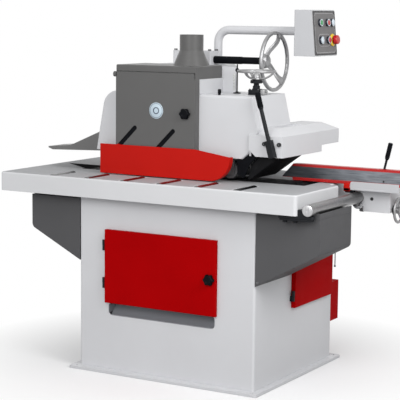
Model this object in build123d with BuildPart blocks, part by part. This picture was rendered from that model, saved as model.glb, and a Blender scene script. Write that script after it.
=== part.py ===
# Straight-line rip saw with one overhead blade. Millimetres, +Z up, origin at the base centre on the floor.
# +X is the infeed end, stock travels towards -X, and the operator's front faces -Y.
import os
from math import atan2, cos, degrees, pi, radians, sin, tan

from build123d import *

# Base and cabinet
base_length = 936
base_depth = 822
base_thickness = 12
base_margin_x = 33
base_margin_y = 41
base_tongue_margin = 20
anchor_inset_x = 28
anchor_inset_y = 19
anchor_radius = 7
cabinet_length = base_length - 2 * base_margin_x
cabinet_depth = base_depth - 2 * base_margin_y
cabinet_wall = 6
cabinet_rim = 45
cabinet_rim_thickness = 10
cabinet_corner = 10

# Table
table_height = 850
table_skirt = 83
table_plate = 24
table_wall = 18
table_outfeed_reach = 825
table_infeed_reach = 645
table_notch = 45
table_notch_start = -27
table_front_reach = cabinet_depth / 2 + 60
table_back_reach = cabinet_depth / 2 - 25
table_corner = 14
table_edge_radius = 7
table_rib = 16

# Feed chain
chain_y = -47.5
channel_width = 155
channel_outfeed_end = -690
channel_infeed_end = 530
channel_ramp = 90
channel_ramp_depth = 18
link_pitch = 72.5
sprocket_teeth = 8
straight_links = 14
outfeed_sprocket_x = -560
pad_width = 146
pad_gap = 3
pad_thickness = 16
pad_rise = 0.8
pad_lift = 14
blade_groove_width = 8
blade_groove_depth = 7
pin_radius = 8
pin_length = 80
lug_radius = 12.5
lug_thickness = 10
inner_lane = 20
outer_lane = 32
sprocket_width = 24
feed_shaft_radius = 16
bed_rail_inner = 52
bed_rail_outer = 70
bed_tie_width = 40
bed_tie_thickness = 14
bearing_plate = 20
bearing_plate_front_y = -155
bearing_plate_back_y = 46
gearbox_length = 110
gearbox_y = -265
gearbox_width = 120
feed_motor_radius = 60
feed_motor_drop = 54
feed_motor_inner_end = -235

# Chain covers
cover_sheet = 3
cover_back_y = -70
cover_tunnel_back_y = 80
cover_top_gap = 14
outfeed_cover_reach = 694
infeed_cover_reach = table_infeed_reach + 77
infeed_tunnel_reach = table_infeed_reach - 5
outfeed_cover_low = table_height - 370
infeed_cover_low = table_height - 398
cover_outer_low = table_height - 242
cover_corner = 24

# Table rollers
roller_count = 6
roller_pitch = 183
roller_first_x = -550
roller_radius = 20
roller_length = 164
roller_front_margin = 11
roller_rise = 4
roller_journal_radius = 6
roller_journal_length = 8
roller_side_gap = 3

# Column and overarm
column_left = -330
column_right = 126
column_front = cabinet_depth / 2 + 2
column_back = cabinet_depth / 2 + 210
arm_front = 0
arm_bottom = table_height + 366
arm_top = table_height + 478
column_wall = 25
column_fillet = 40
column_corner_depth = 38
column_corner_x = 28
column_shoulder_z = table_height + 326
arm_nose_depth = 18
arm_tail_x = -213
motor_window_margin = 8
way_width = 38
way_height = 12
way_bottom = table_height + 22
way_top = column_shoulder_z

# Head housing
head_front = -195
head_back = 100
head_bottom = table_height + 102
head_wall = 10
head_left_low = -472
head_left_high = -424
head_right_low = 318
head_right_mid = 350
head_right_high = 317
head_edge_radius = 12
head_shoulder = 46
head_crown_radius = 72

# Arbor
arbor_x = -135
blade_radius = 152.5
blade_thickness = 3
blade_teeth = 36
blade_cut_depth = 4
arbor_travel = 45
arbor_radius = 20
arbor_housing_radius = 48
arbor_bearing_radius = 38
arbor_bearing_width = 22
blade_flange_radius = 52
blade_flange_thickness = 12
arbor_nut_radius = 24
arbor_nut_length = 22
housing_nose_y = -12
slide_plate_thickness = 30
slide_plate_height = 240
saw_motor_radius = 106
saw_motor_length = 350
saw_motor_fins = 18
fin_height = 8

# Arbor lift
lift_screw_x = -214
lift_axis_y = 140
lift_shaft_z = table_height + 501
lift_screw_radius = 11
lift_nut_half = 20
lift_nut_height = 58
gear_block_left = -253
gear_block_right = -57
gear_block_front = 100
gear_block_back = 180
gear_block_height = 62
gear_block_wall = 8
bevel_radius = 20
lift_shaft_radius = 9
sleeve_radius = 17
sleeve_end_x = 183
arbor_wheel_radius = 133
arbor_wheel_rim = 9
arbor_wheel_dish = 43
arbor_wheel_hub_radius = 20
arbor_wheel_hub_length = 34

# Press unit
press_screw_x = 275
press_screw_y = -83
press_screw_radius = 10
press_post_radius = 10
press_roller_radius = 36
press_roller_gap = 12
press_roller_front = -160
press_roller_back = 56
press_roller_grooves = 9
infeed_roller_x = 194
outfeed_roller_x = -336
press_axle_radius = 10
press_cheek = 8
press_block_height = 40
press_block_gap = 12
press_post_overlap = 12
press_wheel_radius = 84
press_wheel_rim = 6
press_wheel_z = table_height + 466
bearing_block_left = 30
bearing_block_right = 22
bearing_block_half = 20
bearing_block_height = 22
bearing_collar_radius = 18
bearing_collar_height = 27
indicator_x = 158
indicator_y = -40
indicator_radius = 3
indicator_top = table_height + 466
indicator_ball = 9
indicator_tip = 25

# Dust hood
hood_left = -340
hood_right = 61
hood_front = -228
hood_bottom = table_height + 108
hood_top = table_height + 483
plenum_bottom = table_height + 429
plenum_back = -3
hood_sheet = 3
port_x = -36
port_y = -100
port_radius = 51.5
port_base_radius = 80
port_taper_height = 64
port_collar_height = 68
hood_hinge_z = table_height + 441
hood_hinge_y = -222
hood_hinge_pin = 5
hood_knuckle = 8
hood_hinge_swing = 14.5
hood_door_lip = 10
hood_pin_head = 12
hood_door_sheet = 3
hood_door_gap = 1
hood_knob_x = 15
hood_knob_z = table_height + 282

# Blade guard, which slides in two diagonal slots of the hood door
guard_left = -417
guard_right = 237
guard_bottom = table_height + 5
guard_top = table_height + 134
guard_sheet = 4
guard_gap = 4
guard_flange_back = -212
guard_shoulder_x = 67
guard_nose_top = table_height + 110
guard_nose_radius = 85
slot_left_x = -326
slot_z = table_height + 126
slot_spacing = 194
slot_travel = 116
slot_radius = 10
slot_stud_clearance = 0.08

# Anti-kickback unit
kick_left = 307
kick_right = 467
kick_front = -205
kick_back = table_back_reach - 4
kick_bottom = table_height + 117
kick_back_bottom = table_height + 145
kick_step_y = 168
kick_top = table_height + 235
kick_edge_top = table_height + 205
kick_slope_width = 58
kick_wall = 8
kick_recess_depth = 14
kick_corner_width = 33
kick_corner_height = 28
finger_shaft_x = 424
finger_shaft_z = table_height + 135
finger_shaft_radius = 12
finger_count = 22
finger_pitch = 11
finger_thickness = 8
finger_first_y = -171
finger_hub_radius = 22
finger_reach_x = 134
finger_reach_z = 119
lever_lean = 16
lever_length = 258
lever_rod_radius = 8.5
lever_grip_radius = 11
lever_grip_length = 66
lever_grip_round = 2
lever_block_width = 30
lever_block_length = 74
lever_block_depth = 26
lever_gap = 2
stop_pin_radius = 8
stop_pin_left_x = 384
stop_pin_right_x = 452
stop_pin_z = table_height + 173
stop_pin_reach = 10

# Outfeed deflector
deflector_tip_x = -803
deflector_front = -100
deflector_back = 20
deflector_sheet = 3
deflector_lip = 6
deflector_nose = 24
deflector_nose_rise = 8
deflector_tip_drop = 13
deflector_knee_x = 126
deflector_knee_rise = 13
deflector_slope_x = 285
deflector_bottom = table_height + 88
deflector_top = table_height + 170

# Fence, rail and carriage
rail_x = table_infeed_reach + 45
rail_z = table_height - 58
rail_radius = 24
rail_front = 9 - table_front_reach
rail_back = table_back_reach
rack_width = 16
rack_module = 3.2
pinion_teeth = 10
pinion_backlash = 0.9
rack_start_y = 25
rack_end_y = 300
bracket_width = 32
bracket_foot_thickness = 12
bracket_foot_inner = table_infeed_reach - 85
carriage_front = 70
carriage_boss_length = 80
carriage_boss_radius = 40
carriage_box_left = rail_x + 23
carriage_box_right = rail_x + 145
carriage_box_depth = 120
carriage_box_bottom = table_height - 115
carriage_box_top = table_height - 12
carriage_flange_left = rail_x - 38
fence_left = rail_x - 285
fence_length = 690
fence_nose = 51
fence_nose_top = table_height + 18
fence_face_y = 20
fence_height = 70
fence_lift = 3
fence_base_depth = 52
fence_base_lip = 6
fence_base_thickness = 11
fence_web = 12
fence_flange_depth = 34
fence_flange_thickness = 9
fence_lever_x = rail_x + 121
fence_lever_length = 130
fence_lever_lean = 13
fence_wheel_radius = 56
fence_wheel_rim = 6
pinion_shaft_radius = 8

# Pendant
pendant_x = -92
pendant_y = 232
pendant_radius = 19
pendant_bend = 55
pendant_z = table_height + 633
pendant_collar_radius = 30
pendant_collar_height = 34
box_left = 356
box_depth = 100
box_lean = 18
box_front = 100
box_width = 225
box_bottom = table_height + 528
box_height = 198
panel_thickness = 3
panel_margin = 5
button_radius = 11
button_height = 12
bezel_radius = 16.5
bezel_height = 10
button_column_y = (166, 239, 283)
button_row_z = (table_height + 596, table_height + 671)
estop_radius = 20
estop_height = 30
estop_stem = 13

# Doors
door_left = -294
door_right = 258
door_bottom = 308
door_top = 629
door_thickness = 18
door_sheet = 3
door_gap = 0.5
door_overlap = 16
hinge_offset = 7
hinge_radius = 6.5
hinge_pin_radius = 4
hinge_length = 46
front_hinge_z = (395, 560)
knob_radius = 25
knob_lobes = 6
knob_thickness = 18
knob_stem_radius = 6
door_knob_x = 230
door_knob_z = 463
recess_bottom = 252
recess_depth = 60
recess_corner = 20
recess_scoop = 54
side_door_front = -38
side_door_back = cabinet_depth / 2 - 35
side_door_bottom = 307
side_door_top = 560
side_door_thickness = 20
side_hinge_z = (360, 500)
rear_cover_left = 190
rear_cover_depth = 92
rear_cover_bottom = 170
rear_cover_top = 350

# Fits
run_fit = 0.05
seat_fit = 0.3

# Worked-out places
cabinet_top = table_height - table_skirt
cabinet_right = cabinet_length / 2
cabinet_front = -cabinet_depth / 2
cabinet_back = cabinet_depth / 2
pitch_radius = link_pitch / (2 * sin(pi / sprocket_teeth))
pad_top_z = table_height + pad_rise
pin_line_z = pad_top_z - pad_thickness - pad_lift
sprocket_z = pin_line_z - pitch_radius
infeed_sprocket_x = outfeed_sprocket_x + straight_links * link_pitch
lower_run_z = sprocket_z - pitch_radius
arbor_z = pad_top_z - blade_cut_depth + blade_radius
slide_face_y = column_front - way_height
motor_window_half = saw_motor_radius + fin_height + motor_window_margin
roller_z = table_height + roller_rise - roller_radius
roller_y = -table_front_reach + roller_front_margin + roller_length / 2
feed_motor_z = sprocket_z - feed_motor_drop
press_roller_z = table_height + press_roller_gap + press_roller_radius
press_block_z = press_roller_z + press_roller_radius + press_block_gap
post_bottom = press_block_z + press_block_height - press_post_overlap
guard_front = hood_front - hood_door_gap - hood_door_sheet - guard_gap - guard_sheet
door_face = cabinet_front - door_gap - door_thickness
fence_bottom = table_height + fence_lift
fence_top = fence_bottom + fence_height
pinion_radius = rack_module * pinion_teeth / 2
rack_root_z = rail_z - rail_radius - 2
pinion_y = carriage_front + carriage_boss_length / 2
pinion_z = rack_root_z - 1.25 * rack_module - pinion_radius
panel_tilt = degrees(atan2(box_lean, box_height))
lever_front = kick_front - lever_gap
finger_end_y = finger_first_y + (finger_count - 1) * finger_pitch


def front_plane(y):
    return Plane(origin=(0, y, 0), x_dir=(1, 0, 0), z_dir=(0, -1, 0))


def side_plane(x):
    return Plane(origin=(x, 0, 0), x_dir=(0, 1, 0), z_dir=(1, 0, 0))


def span_box(x, y, z, mode=Mode.ADD):
    with Locations(((x[0] + x[1]) / 2, (y[0] + y[1]) / 2, (z[0] + z[1]) / 2)):
        Box(x[1] - x[0], y[1] - y[0], z[1] - z[0], mode=mode)


def x_round(radius, x, y, z, mode=Mode.ADD):
    with Locations(((x[0] + x[1]) / 2, y, z)):
        Cylinder(radius, x[1] - x[0], rotation=(0, 90, 0), mode=mode)


def y_round(radius, x, y, z, mode=Mode.ADD):
    with Locations((x, (y[0] + y[1]) / 2, z)):
        Cylinder(radius, y[1] - y[0], rotation=(90, 0, 0), mode=mode)


def z_round(radius, x, y, z, mode=Mode.ADD):
    with Locations((x, y, (z[0] + z[1]) / 2)):
        Cylinder(radius, z[1] - z[0], mode=mode)


def hand_wheel(radius, rim, hub_radius, hub_length, dish, bore, spokes):
    # A spoked wheel about Z, its hub's back at the origin and its rim dished forward.
    rim_centre = radius - rim
    rim_z = hub_length / 2 + dish
    spoke_run = rim_centre - hub_radius / 2
    spoke_length = (spoke_run**2 + dish**2) ** 0.5
    with BuildPart() as wheel:
        with BuildSketch(Plane.XZ):
            with Locations((rim_centre, rim_z)):
                RegularPolygon(rim, 8)
        revolve(axis=Axis.Z)
        z_round(hub_radius, 0, 0, (0, hub_length))
        for k in range(spokes):
            turn = 2 * pi * (k + 0.55) / spokes
            start = (cos(turn) * hub_radius / 2, sin(turn) * hub_radius / 2, hub_length / 2)
            way = (cos(turn) * spoke_run, sin(turn) * spoke_run, dish)
            with BuildSketch(Plane(origin=start, x_dir=(-sin(turn), cos(turn), 0), z_dir=way)):
                Rectangle(1.8 * rim, 0.9 * rim)
            extrude(amount=spoke_length)
        z_round(bore, 0, 0, (0, hub_length), mode=Mode.SUBTRACT)
    return wheel.part


def star_knob(radius, lobes, thickness, stem_radius, stem_length):
    # A lobed clamp knob about Z: its stem runs down from the origin, its head up.
    neck = thickness * 0.35
    with BuildPart() as knob:
        with BuildSketch(Plane.XY.offset(neck)):
            Circle(radius * 0.72)
            with PolarLocations(radius * 0.7, lobes):
                Circle(radius * 0.3)
        extrude(amount=thickness - neck)
        z_round(radius * 0.5, 0, 0, (0, neck))
        z_round(stem_radius, 0, 0, (-stem_length, neck))
    return knob.part


# Base plate with a tongue under the column
with BuildPart() as base_plate:
    with BuildSketch(Plane.XY):
        RectangleRounded(base_length, base_depth, cabinet_corner)
        tongue_length = column_right - column_left + 2 * base_tongue_margin
        tongue_depth = column_back + base_tongue_margin
        with Locations(((column_left + column_right) / 2, tongue_depth / 2)):
            Rectangle(tongue_length, tongue_depth)
    extrude(amount=base_thickness)
    with Locations((0, 0, base_thickness)):
        with GridLocations(base_length - 2 * anchor_inset_x, base_depth - 2 * anchor_inset_y, 2, 2):
            Hole(anchor_radius)

# Cabinet shell, open where the doors, the recess, the chain and the feed motor pass
with BuildPart() as cabinet:
    with BuildSketch(Plane.XY.offset(base_thickness)):
        RectangleRounded(cabinet_length, cabinet_depth, cabinet_corner)
    extrude(amount=cabinet_top - base_thickness)
    inner_x = cabinet_right - cabinet_wall
    inner_y = cabinet_back - cabinet_wall
    span_box(
        (-inner_x, inner_x),
        (-inner_y, inner_y),
        (base_thickness, cabinet_top - cabinet_rim_thickness),
        mode=Mode.SUBTRACT,
    )
    rim_x = cabinet_right - cabinet_rim
    rim_y = cabinet_back - cabinet_rim
    span_box((-rim_x, rim_x), (-rim_y, rim_y), (base_thickness, cabinet_top), mode=Mode.SUBTRACT)
    span_box(
        (door_left + door_overlap, door_right - door_overlap),
        (cabinet_front, -rim_y),
        (door_bottom + door_overlap, door_top - door_overlap),
        mode=Mode.SUBTRACT,
    )
    with BuildSketch(front_plane(cabinet_front + cabinet_wall)):
        recess_mid_x = (door_left + door_right) / 2
        recess_length = door_right - door_left - 20
        recess_height = door_bottom - recess_bottom
        with Locations((recess_mid_x, recess_bottom + recess_height / 2)):
            RectangleRounded(recess_length + 2 * seat_fit, recess_height + 2 * seat_fit, recess_corner)
    extrude(amount=cabinet_wall, mode=Mode.SUBTRACT)
    for side in (-1, 1):
        span_box(
            sorted((side * rim_x, side * cabinet_right)),
            (chain_y - channel_width / 2, chain_y + channel_width / 2),
            (lower_run_z - pad_lift - pad_thickness - 8, cabinet_top),
            mode=Mode.SUBTRACT,
        )
    x_round(
        feed_motor_radius + 2,
        (-cabinet_right, -inner_x),
        gearbox_y,
        feed_motor_z,
        mode=Mode.SUBTRACT,
    )
    span_box(
        (inner_x, cabinet_right),
        (side_door_front + door_overlap, side_door_back - door_overlap),
        (side_door_bottom + door_overlap, side_door_top - door_overlap),
        mode=Mode.SUBTRACT,
    )

# Dark scoop under the front door
with BuildPart() as front_recess:
    with BuildSketch(front_plane(cabinet_front + recess_depth)):
        with Locations((recess_mid_x, recess_bottom + recess_height / 2)):
            RectangleRounded(recess_length, recess_height, recess_corner)
    extrude(amount=recess_depth)
    x_round(
        recess_scoop,
        (recess_mid_x - recess_length / 2 + door_sheet, recess_mid_x + recess_length / 2 - door_sheet),
        cabinet_front,
        recess_bottom + recess_scoop + door_sheet,
        mode=Mode.SUBTRACT,
    )

# Front door: a pressed tray with two hinge knuckles on its left edge
hinge_x = door_left - hinge_offset
hinge_y = door_face + hinge_radius
with BuildPart() as cabinet_door:
    span_box(
        (door_left, door_right),
        (door_face, door_face + door_thickness),
        (door_bottom, door_top),
    )
    fillet(cabinet_door.faces().sort_by(Axis.Y)[0].edges(), door_sheet)
    span_box(
        (door_left + door_sheet, door_right - door_sheet),
        (door_face + door_sheet, door_face + door_thickness),
        (door_bottom + door_sheet, door_top - door_sheet),
        mode=Mode.SUBTRACT,
    )
    for z in front_hinge_z:
        knuckle = (z, z + hinge_length / 2)
        span_box((hinge_x, door_left + 2 * door_sheet), (hinge_y - 2, hinge_y + 2), knuckle)
        z_round(hinge_radius, hinge_x, hinge_y, knuckle)
        z_round(hinge_pin_radius + run_fit, hinge_x, hinge_y, knuckle, mode=Mode.SUBTRACT)
    y_round(
        knob_stem_radius + run_fit,
        door_knob_x,
        (door_face, door_face + door_sheet),
        door_knob_z,
        mode=Mode.SUBTRACT,
    )

with BuildPart() as door_knob:
    knob_place = Plane(origin=(door_knob_x, door_face, door_knob_z), x_dir=(1, 0, 0), z_dir=(0, -1, 0))
    add(
        star_knob(knob_radius, knob_lobes, knob_thickness, knob_stem_radius, door_thickness).moved(
            knob_place.location
        )
    )

# Side door on the infeed end
side_hinge_x = cabinet_right + door_gap + side_door_thickness - hinge_radius
side_hinge_y = side_door_front - hinge_offset
with BuildPart() as side_door:
    side_face = cabinet_right + door_gap + side_door_thickness
    span_box(
        (cabinet_right + door_gap, side_face),
        (side_door_front, side_door_back),
        (side_door_bottom, side_door_top),
    )
    fillet(side_door.faces().sort_by(Axis.X)[-1].edges(), door_sheet)
    span_box(
        (cabinet_right + door_gap, side_face - door_sheet),
        (side_door_front + door_sheet, side_door_back - door_sheet),
        (side_door_bottom + door_sheet, side_door_top - door_sheet),
        mode=Mode.SUBTRACT,
    )
    for z in side_hinge_z:
        knuckle = (z, z + hinge_length / 2)
        span_box(
            (side_hinge_x - 2, side_hinge_x + 2),
            (side_hinge_y, side_door_front + 2 * door_sheet),
            knuckle,
        )
        z_round(hinge_radius, side_hinge_x, side_hinge_y, knuckle)
        z_round(hinge_pin_radius + run_fit, side_hinge_x, side_hinge_y, knuckle, mode=Mode.SUBTRACT)

# Fixed hinge halves with their pins
with BuildPart() as door_hinges:
    for z in front_hinge_z:
        fixed = (z - hinge_length / 2, z - seat_fit)
        z_round(hinge_radius, hinge_x, hinge_y, fixed)
        span_box((hinge_x - hinge_radius, hinge_x), (hinge_y, cabinet_front), fixed)
        z_round(hinge_pin_radius, hinge_x, hinge_y, (z - hinge_length / 2, z + hinge_length / 2))
    for z in side_hinge_z:
        fixed = (z - hinge_length / 2, z - seat_fit)
        z_round(hinge_radius, side_hinge_x, side_hinge_y, fixed)
        span_box((cabinet_right, side_hinge_x), (side_hinge_y - hinge_radius, side_hinge_y), fixed)
        z_round(hinge_pin_radius, side_hinge_x, side_hinge_y, (z - hinge_length / 2, z + hinge_length / 2))

with BuildPart() as rear_cover:
    span_box(
        (rear_cover_left, cabinet_right - cabinet_wall),
        (cabinet_back, cabinet_back + rear_cover_depth),
        (rear_cover_bottom, rear_cover_top),
    )
    fillet(rear_cover.faces().sort_by(Axis.Y)[-1].edges(), 2 * door_sheet)
    span_box(
        (rear_cover_left + door_sheet, cabinet_right - cabinet_wall - door_sheet),
        (cabinet_back, cabinet_back + rear_cover_depth - door_sheet),
        (rear_cover_bottom + door_sheet, rear_cover_top - door_sheet),
        mode=Mode.SUBTRACT,
    )

# Table casting: plate, skirt, ribs, chain channel with its ramp, roller slots and journals
notch_x = table_infeed_reach - table_notch
table_outline = [
    (-table_outfeed_reach, -table_front_reach),
    (table_infeed_reach, -table_front_reach),
    (table_infeed_reach, table_notch_start),
    (notch_x, table_notch_start),
    (notch_x, table_back_reach),
    (-table_outfeed_reach, table_back_reach),
]
channel_front = chain_y - channel_width / 2
channel_back = chain_y + channel_width / 2
plate_bottom = table_height - table_plate
bed_bottom = cabinet_top + bed_tie_thickness
roller_xs = [roller_first_x + k * roller_pitch for k in range(roller_count)]
with BuildPart() as table:
    with BuildSketch(Plane.XY.offset(cabinet_top)):
        with BuildLine():
            Polyline(*table_outline, close=True)
        make_face()
        fillet(vertices(), table_corner)
    extrude(amount=table_skirt)
    fillet(table.faces().sort_by(Axis.Z)[-1].edges(), table_edge_radius)
    with BuildSketch(Plane.XY.offset(cabinet_top)):
        with BuildLine():
            Polyline(*table_outline, close=True)
        make_face()
        offset(amount=-table_wall)
    extrude(amount=table_skirt - table_plate, mode=Mode.SUBTRACT)
    for x in (-cabinet_right + table_rib / 2, cabinet_right - table_rib / 2):
        span_box(
            (x - table_rib / 2, x + table_rib / 2),
            (-table_front_reach + table_wall, table_back_reach - table_wall),
            (cabinet_top, plate_bottom),
        )
    for y in (channel_front - table_rib, channel_back):
        span_box(
            (-table_outfeed_reach + table_wall, notch_x - table_wall),
            (y, y + table_rib),
            (bed_bottom, plate_bottom),
        )
    span_box(
        (channel_outfeed_end, channel_infeed_end),
        (channel_front, channel_back),
        (cabinet_top, table_height),
        mode=Mode.SUBTRACT,
    )
    with BuildSketch(front_plane(channel_back)):
        with BuildLine():
            Polyline(
                (channel_outfeed_end - channel_ramp, table_height),
                (channel_outfeed_end, table_height),
                (channel_outfeed_end, table_height - channel_ramp_depth),
                close=True,
            )
        make_face()
    extrude(amount=channel_width, mode=Mode.SUBTRACT)
    for x in roller_xs:
        half_slot = roller_radius + roller_side_gap
        half_length = roller_length / 2 + 1
        span_box(
            (x - half_slot, x + half_slot),
            (roller_y - half_length, roller_y + half_length),
            (roller_z - roller_radius - roller_side_gap, table_height),
            mode=Mode.SUBTRACT,
        )
        journal_half = roller_length / 2 + roller_journal_length + 1
        y_round(
            roller_journal_radius + run_fit,
            x,
            (roller_y - journal_half, roller_y + journal_half),
            roller_z,
            mode=Mode.SUBTRACT,
        )

table_rollers = []
for x in roller_xs:
    with BuildPart() as table_roller:
        y_round(roller_radius, x, (roller_y - roller_length / 2, roller_y + roller_length / 2), roller_z)
        chamfer(table_roller.edges().filter_by(GeomType.CIRCLE), 1.5)
        journal_half = roller_length / 2 + roller_journal_length
        y_round(roller_journal_radius, x, (roller_y - journal_half, roller_y + journal_half), roller_z)
    table_rollers.append(table_roller)

# One chain link about its own middle: pad, front lugs with the pin, rear lugs with holes
half_pitch = link_pitch / 2
with BuildPart() as chain_link:
    with Locations((0, 0, pad_lift + pad_thickness / 2)):
        Box(link_pitch - pad_gap, pad_width, pad_thickness)
    for lane, end in ((outer_lane, 1), (inner_lane, -1)):
        for hand in (-1, 1):
            with BuildSketch(front_plane(hand * lane + lug_thickness / 2)):
                with Locations((end * half_pitch, 0)):
                    Circle(lug_radius)
                with BuildLine():
                    Polyline(
                        (end * half_pitch, lug_radius),
                        (end * half_pitch, -lug_radius),
                        (end * 6, -lug_radius + 6),
                        (end * 6, pad_lift),
                        (end * (half_pitch - lug_radius), pad_lift),
                        close=True,
                    )
                make_face()
            extrude(amount=lug_thickness)
    y_round(pin_radius, half_pitch, (-pin_length / 2, pin_length / 2), 0)
    y_round(
        pin_radius + seat_fit,
        -half_pitch,
        (-pin_length / 2, pin_length / 2),
        0,
        mode=Mode.SUBTRACT,
    )
    with Locations((0, 0, pad_lift + pad_thickness - blade_groove_depth / 2)):
        Box(link_pitch, blade_groove_width, blade_groove_depth, mode=Mode.SUBTRACT)


def chain_places():
    # Middle and turn of every link: along the top, round the infeed sprocket, back below and round again.
    places = []
    chord = pitch_radius * cos(pi / sprocket_teeth)
    for k in range(straight_links):
        run = (k + 0.5) * link_pitch
        places.append((outfeed_sprocket_x + run, pin_line_z, 0))
        places.append((infeed_sprocket_x - run, lower_run_z, 180))
    for k in range(sprocket_teeth // 2):
        turn = 90 - (k + 0.5) * 360 / sprocket_teeth
        reach_x = chord * cos(radians(turn))
        reach_z = chord * sin(radians(turn))
        places.append((infeed_sprocket_x + reach_x, sprocket_z + reach_z, 90 - turn))
        places.append((outfeed_sprocket_x - reach_x, sprocket_z - reach_z, 270 - turn))
    return places


with BuildPart() as feed_chain:
    for x, z, turn in chain_places():
        add(chain_link.part.moved(Location((x, chain_y, z), (0, turn, 0))))

# Drive and idler shafts with their sprockets
with BuildPart() as feed_shafts:
    gearbox_front = gearbox_y - gearbox_width / 2
    for x, front in ((outfeed_sprocket_x, gearbox_front), (infeed_sprocket_x, bearing_plate_front_y)):
        with BuildSketch(front_plane(chain_y + sprocket_width / 2)):
            with Locations((x, sprocket_z)):
                Circle(pitch_radius + 2)
                with PolarLocations(pitch_radius, sprocket_teeth):
                    Circle(pin_radius + seat_fit, mode=Mode.SUBTRACT)
        extrude(amount=sprocket_width)
        back = bearing_plate_back_y + bearing_plate / 2
        y_round(feed_shaft_radius, x, (front - bearing_plate / 2, back), sprocket_z)

# Chain bed: guide rails on cross ties, and the plates that carry the shafts
with BuildPart() as chain_bed:
    for x in (-cabinet_right / 2, 0, cabinet_right / 2 - bed_tie_width):
        span_box(
            (x - bed_tie_width / 2, x + bed_tie_width / 2),
            (channel_front - table_rib, channel_back + table_rib),
            (cabinet_top, bed_bottom),
        )
    for hand in (-1, 1):
        near = chain_y + hand * bed_rail_inner
        far = chain_y + hand * bed_rail_outer
        span_box(
            (outfeed_sprocket_x + pitch_radius, infeed_sprocket_x - pitch_radius),
            sorted((near, far)),
            (bed_bottom, pin_line_z + pad_lift - seat_fit),
        )
    for x, wall in ((outfeed_sprocket_x, -cabinet_right), (infeed_sprocket_x, cabinet_right)):
        outer = x + (45 if wall > 0 else -45)
        for y in (bearing_plate_front_y, bearing_plate_back_y):
            span_box(
                sorted((outer, wall)),
                (y - bearing_plate / 2, y + bearing_plate / 2),
                (sprocket_z - 38, cabinet_top - cover_top_gap),
            )
            y_round(
                feed_shaft_radius + run_fit,
                x,
                (y - bearing_plate, y + bearing_plate),
                sprocket_z,
                mode=Mode.SUBTRACT,
            )

# Feed gear motor: worm gearbox on the drive shaft, flanged to the cabinet end, motor inside
with BuildPart() as feed_gear_motor:
    box_x = (outfeed_sprocket_x - gearbox_length / 2, outfeed_sprocket_x + gearbox_length / 2)
    box_y = (gearbox_y - gearbox_width / 2, gearbox_y + gearbox_width / 2)
    span_box(box_x, box_y, (feed_motor_z - feed_motor_radius, sprocket_z + 55))
    fillet(feed_gear_motor.edges().filter_by(Axis.Y), 18)
    x_round(feed_motor_radius, (box_x[1] - 5, feed_motor_inner_end), gearbox_y, feed_motor_z)
    span_box(
        (-cabinet_right - 10, -cabinet_right),
        (gearbox_y - feed_motor_radius - 14, gearbox_y + feed_motor_radius + 14),
        (feed_motor_z - feed_motor_radius - 14, feed_motor_z + feed_motor_radius + 14),
    )
    y_round(feed_shaft_radius + run_fit, outfeed_sprocket_x, box_y, sprocket_z, mode=Mode.SUBTRACT)


def chain_cover(wall, end, tunnel_end, low):
    # Sheet cover on one cabinet end: a deep front part with a sloping floor, and a tunnel round the chain.
    hand = 1 if end > wall else -1
    top = cabinet_top - cover_top_gap
    tunnel_floor = lower_run_z - pad_lift - pad_thickness - 10
    outline = [(wall, low), (end, cover_outer_low), (end, top), (wall, top)]
    inner_end = end - hand * cover_sheet
    inner_low = cover_outer_low + cover_sheet
    inner = [(wall, low + cover_sheet), (inner_end, inner_low), (inner_end, top), (wall, top)]
    with BuildPart() as cover:
        with BuildSketch(front_plane(cover_back_y)):
            with BuildLine():
                Polyline(*outline, close=True)
            make_face()
            fillet(vertices().group_by(Axis.X)[-1 if hand > 0 else 0].sort_by(Axis.Y)[0], cover_corner)
        extrude(amount=cover_back_y - cabinet_front)
        span_box(sorted((wall, tunnel_end)), (cover_back_y, cover_tunnel_back_y), (tunnel_floor, top))
        with BuildSketch(front_plane(cover_back_y - cover_sheet)):
            with BuildLine():
                Polyline(*inner, close=True)
            make_face()
            fillet(
                vertices().group_by(Axis.X)[-1 if hand > 0 else 0].sort_by(Axis.Y)[0],
                cover_corner - cover_sheet,
            )
        extrude(amount=cover_back_y - cabinet_front - 2 * cover_sheet, mode=Mode.SUBTRACT)
        span_box(
            sorted((wall, tunnel_end - hand * cover_sheet)),
            (cover_back_y - cover_sheet, cover_tunnel_back_y - cover_sheet),
            (tunnel_floor + cover_sheet, top),
            mode=Mode.SUBTRACT,
        )
    return cover


outfeed_chain_cover = chain_cover(
    -cabinet_right, -outfeed_cover_reach, -outfeed_cover_reach, outfeed_cover_low
)
infeed_chain_cover = chain_cover(
    cabinet_right, infeed_cover_reach, infeed_tunnel_reach, infeed_cover_low
)

# C-frame: hollow column, narrowed neck and overarm, ways for the arbor slide, window for the saw motor
column_plan = (
    (column_left, column_front),
    (column_right, column_front),
    (column_right, column_front + column_corner_depth),
    (column_corner_x, column_back),
    (column_left, column_back),
)
arm_slope = (column_right - arm_tail_x) / (column_back - arm_front - arm_nose_depth)
neck_right = column_right - arm_slope * (column_front - arm_front - arm_nose_depth)
neck_plan = (
    (column_left, column_front),
    (neck_right, column_front),
    (arm_tail_x, column_back),
    (column_left, column_back),
)
arm_plan = (
    (column_left, arm_front),
    (column_right, arm_front),
    (column_right, arm_front + arm_nose_depth),
    (arm_tail_x, column_back),
    (column_left, column_back),
)


def plan_prism(plan, bottom, top, inset=0):
    # A plan outline, drawn in by the inset, raised between two heights.
    with BuildPart() as prism:
        with BuildSketch(Plane.XY.offset(bottom)):
            with BuildLine():
                Polyline(*plan, close=True)
            make_face()
            if inset:
                offset(amount=-inset)
        extrude(amount=top - bottom)
    return prism.part


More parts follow.
